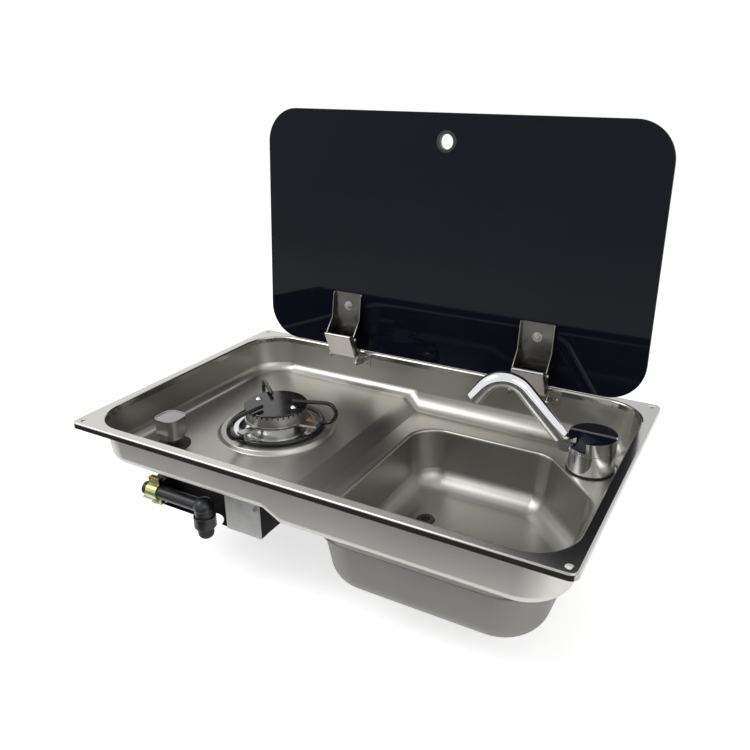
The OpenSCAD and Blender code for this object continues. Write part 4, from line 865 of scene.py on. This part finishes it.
def make_bowl():
    """The deep-drawn bowl welded under the ledge."""
    bowl = bowl_outline(BOWL_Z_TOP, -BOWL_FIT)
    centre = ((BOWL[0] + BOWL[1]) / 2, (BOWL[2] + BOWL[3]) / 2)
    half_x, half_y = (BOWL[1] - BOWL[0]) / 2 - BOWL_FIT, (BOWL[3] - BOWL[2]) / 2 - BOWL_FIT
    inset = (BOWL_Z_TOP - BOWL_FLOOR) * math.tan(math.radians(BOWL_LEAN))
    edit(bowl)
    bpy.ops.mesh.select_all(action="SELECT")
    extrude(0, 0, BOWL_FLOOR - BOWL_Z_TOP)
    shrink(centre, inset, inset, half_x, half_y)
    leave()
    open_top(bowl, BOWL_LEDGE, half_x, half_y, centre)
    edit(bowl)
    pick("EDGE", lambda e: floor_edge(e, BOWL_FLOOR + 1))
    bevel(BOWL_FILLET, 12)
    leave()
    face_up(bowl)
    add(bowl, "SOLIDIFY", thickness=SHEET, offset=-1.0, use_even_offset=True)
    cut(bowl, drum(DRAIN_HOLE, BOWL_FLOOR - 4, BOWL_FLOOR + 4, *DRAIN))
    named("washing_bowl")
    finish_piece(bowl, "pan_unit", bowl_steel, ["sink_bowl"], 28)
    # The bowl's outside takes the darker copy of its steel as painted shade.
    painted_outside_tone(bowl, bowl_outside_painted_shade, -0.05)
    return bowl


pan = make_pan()
bowl = make_bowl()

# ---------------------------------------------------------------- pieces from the frame's own solids
SLOT_FINISH = {
    "stainless": hinge_steel, "polished_steel": polished_steel, "cast_aluminium": cast_alloy,
    "black_enamel": black_enamel, "brass": brass, "copper": copper, "silver_paint": knob_silver,
    "black_rubber": black_rubber, "black_plastic": black_plastic, "black_paint": black_paint,
    "zinc": zinc_sheet, "yellow_zinc": yellow_zinc, "chrome": chrome, "grey_plastic": grey_plastic,
    "black_glass": dark_glass,
}
NODE_SLOT = {part["node"]: part["material_slot"] for part in frame["record"]["subparts"]}
NODE_BODY = {
    node: body for body, nodes in frame["record"]["behaviour"]["bodies"].items() for node in nodes
}


def dressed(node, name, edge=0.4, finish=None, angle=32, steps=2, shade=35):
    """A copy of a solid with its facets merged and its sharp edges rounded by this many millimetres."""
    piece = copy_of(frame["nodes"][node], name)
    bpy.ops.object.parent_clear(type="CLEAR_KEEP_TRANSFORM")
    edit(piece)
    tidy_mesh(0.000002)
    bpy.ops.mesh.dissolve_limited(angle_limit=math.radians(0.6))
    leave()
    if edge:
        add(
            piece, "BEVEL", width=edge * MM, segments=steps, limit_method="ANGLE",
            angle_limit=math.radians(angle), use_clamp_overlap=True, harden_normals=False,
        )
    smooth(piece, shade)
    slot = NODE_SLOT[node]
    piece.data.materials.clear()
    piece.data.materials.append(finish or SPECIAL.get(node) or SLOT_FINISH[slot])
    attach(piece, NODE_BODY[node])
    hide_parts(node)
    return piece


for node, shown in frame["nodes"].items():
    for place in shown.material_slots:
        place.link = "OBJECT"
        place.material = SLOT_FINISH[NODE_SLOT[node]]

# Node of the frame, name of the piece, rounding of its edges in millimetres
DRESSED = (
    ("drain_flange", "waste_strainer", 0.5), ("drain_nut", "waste_nut", 0.6),
    ("drain_gasket", "waste_washer", 0.3), ("burner_dish", "burner_pan_ring", 0.3),
    ("burner_cup", "burner_casting", 0.5), ("burner_crown", "flame_ring", 0.3),
    ("burner_cap", "burner_lid", 0.5), ("cap_rivets", "rivets", 0),
    ("pan_support", "wire_trivet", 0), ("knob_seal", "knob_rubber_ring", 0.3),
    ("hob_knob", "gas_knob", 0.8), ("gas_valve", "gas_cock", 0.6), ("valve_cap", "cock_cover", 0.3),
    ("rail_clamp", "rail_saddle", 0.3), ("clamp_screws", "saddle_screws", 0.3),
    ("gas_rail", "gas_tube", 0.4), ("spigot_nut", "union_collar", 0.6),
    ("hose_spigot", "barbed_spigot", 0.2), ("spigot_cap", "transport_cap", 0.4),
    ("burner_tray", "sheet_box", 0.3), ("tray_front_panel", "sheet_box_front", 0.3),
    ("tray_screws", "box_screws", 0.3), ("tap_gasket", "tap_foot_ring", 0.3),
    ("tap_body", "tap_base", 0.9), ("tap_washer", "tap_under_washer", 0.3),
    ("tap_backnut", "tap_under_nut", 0.5), ("tap_inlet", "tap_hose_barb", 0.2),
    ("tap_knob", "tap_turning_ring", 0.9), ("tap_knob_insert", "tap_grip", 0.4),
    ("spout_pin", "spout_hinge_pin", 0.3), ("spout", "spout_pipe", 0.8),
    ("spout_nozzle", "spout_outlet", 0.3), ("glass_lid", "glass_cover", 1.2),
    ("finger_ring", "finger_hole_ring", 0.3), ("lid_bracket_left", "glass_bracket_left", 0.25),
    ("lid_bracket_right", "glass_bracket_right", 0.25), ("lid_pads", "bracket_pads", 0.2),
    ("lid_bolts", "glass_bolts", 0.4), ("lid_washers", "glass_bolt_washers", 0.2),
    ("lid_nuts", "glass_bolt_nuts", 0.3), ("front_link_left", "swing_arm_left", 0.25),
    ("front_link_right", "swing_arm_right", 0.25), ("front_link_pins", "swing_arm_rivets", 0.3),
    ("rear_link_left", "stay_left", 0.2), ("rear_link_right", "stay_right", 0.2),
    ("hinge_base_left", "wall_plate_left", 0.25), ("hinge_base_right", "wall_plate_right", 0.25),
    ("base_pins", "wall_plate_pins", 0.3), ("base_screws", "wall_plate_screws", 0.3),
)
for node, name, edge in DRESSED:
    dressed(node, name, edge)
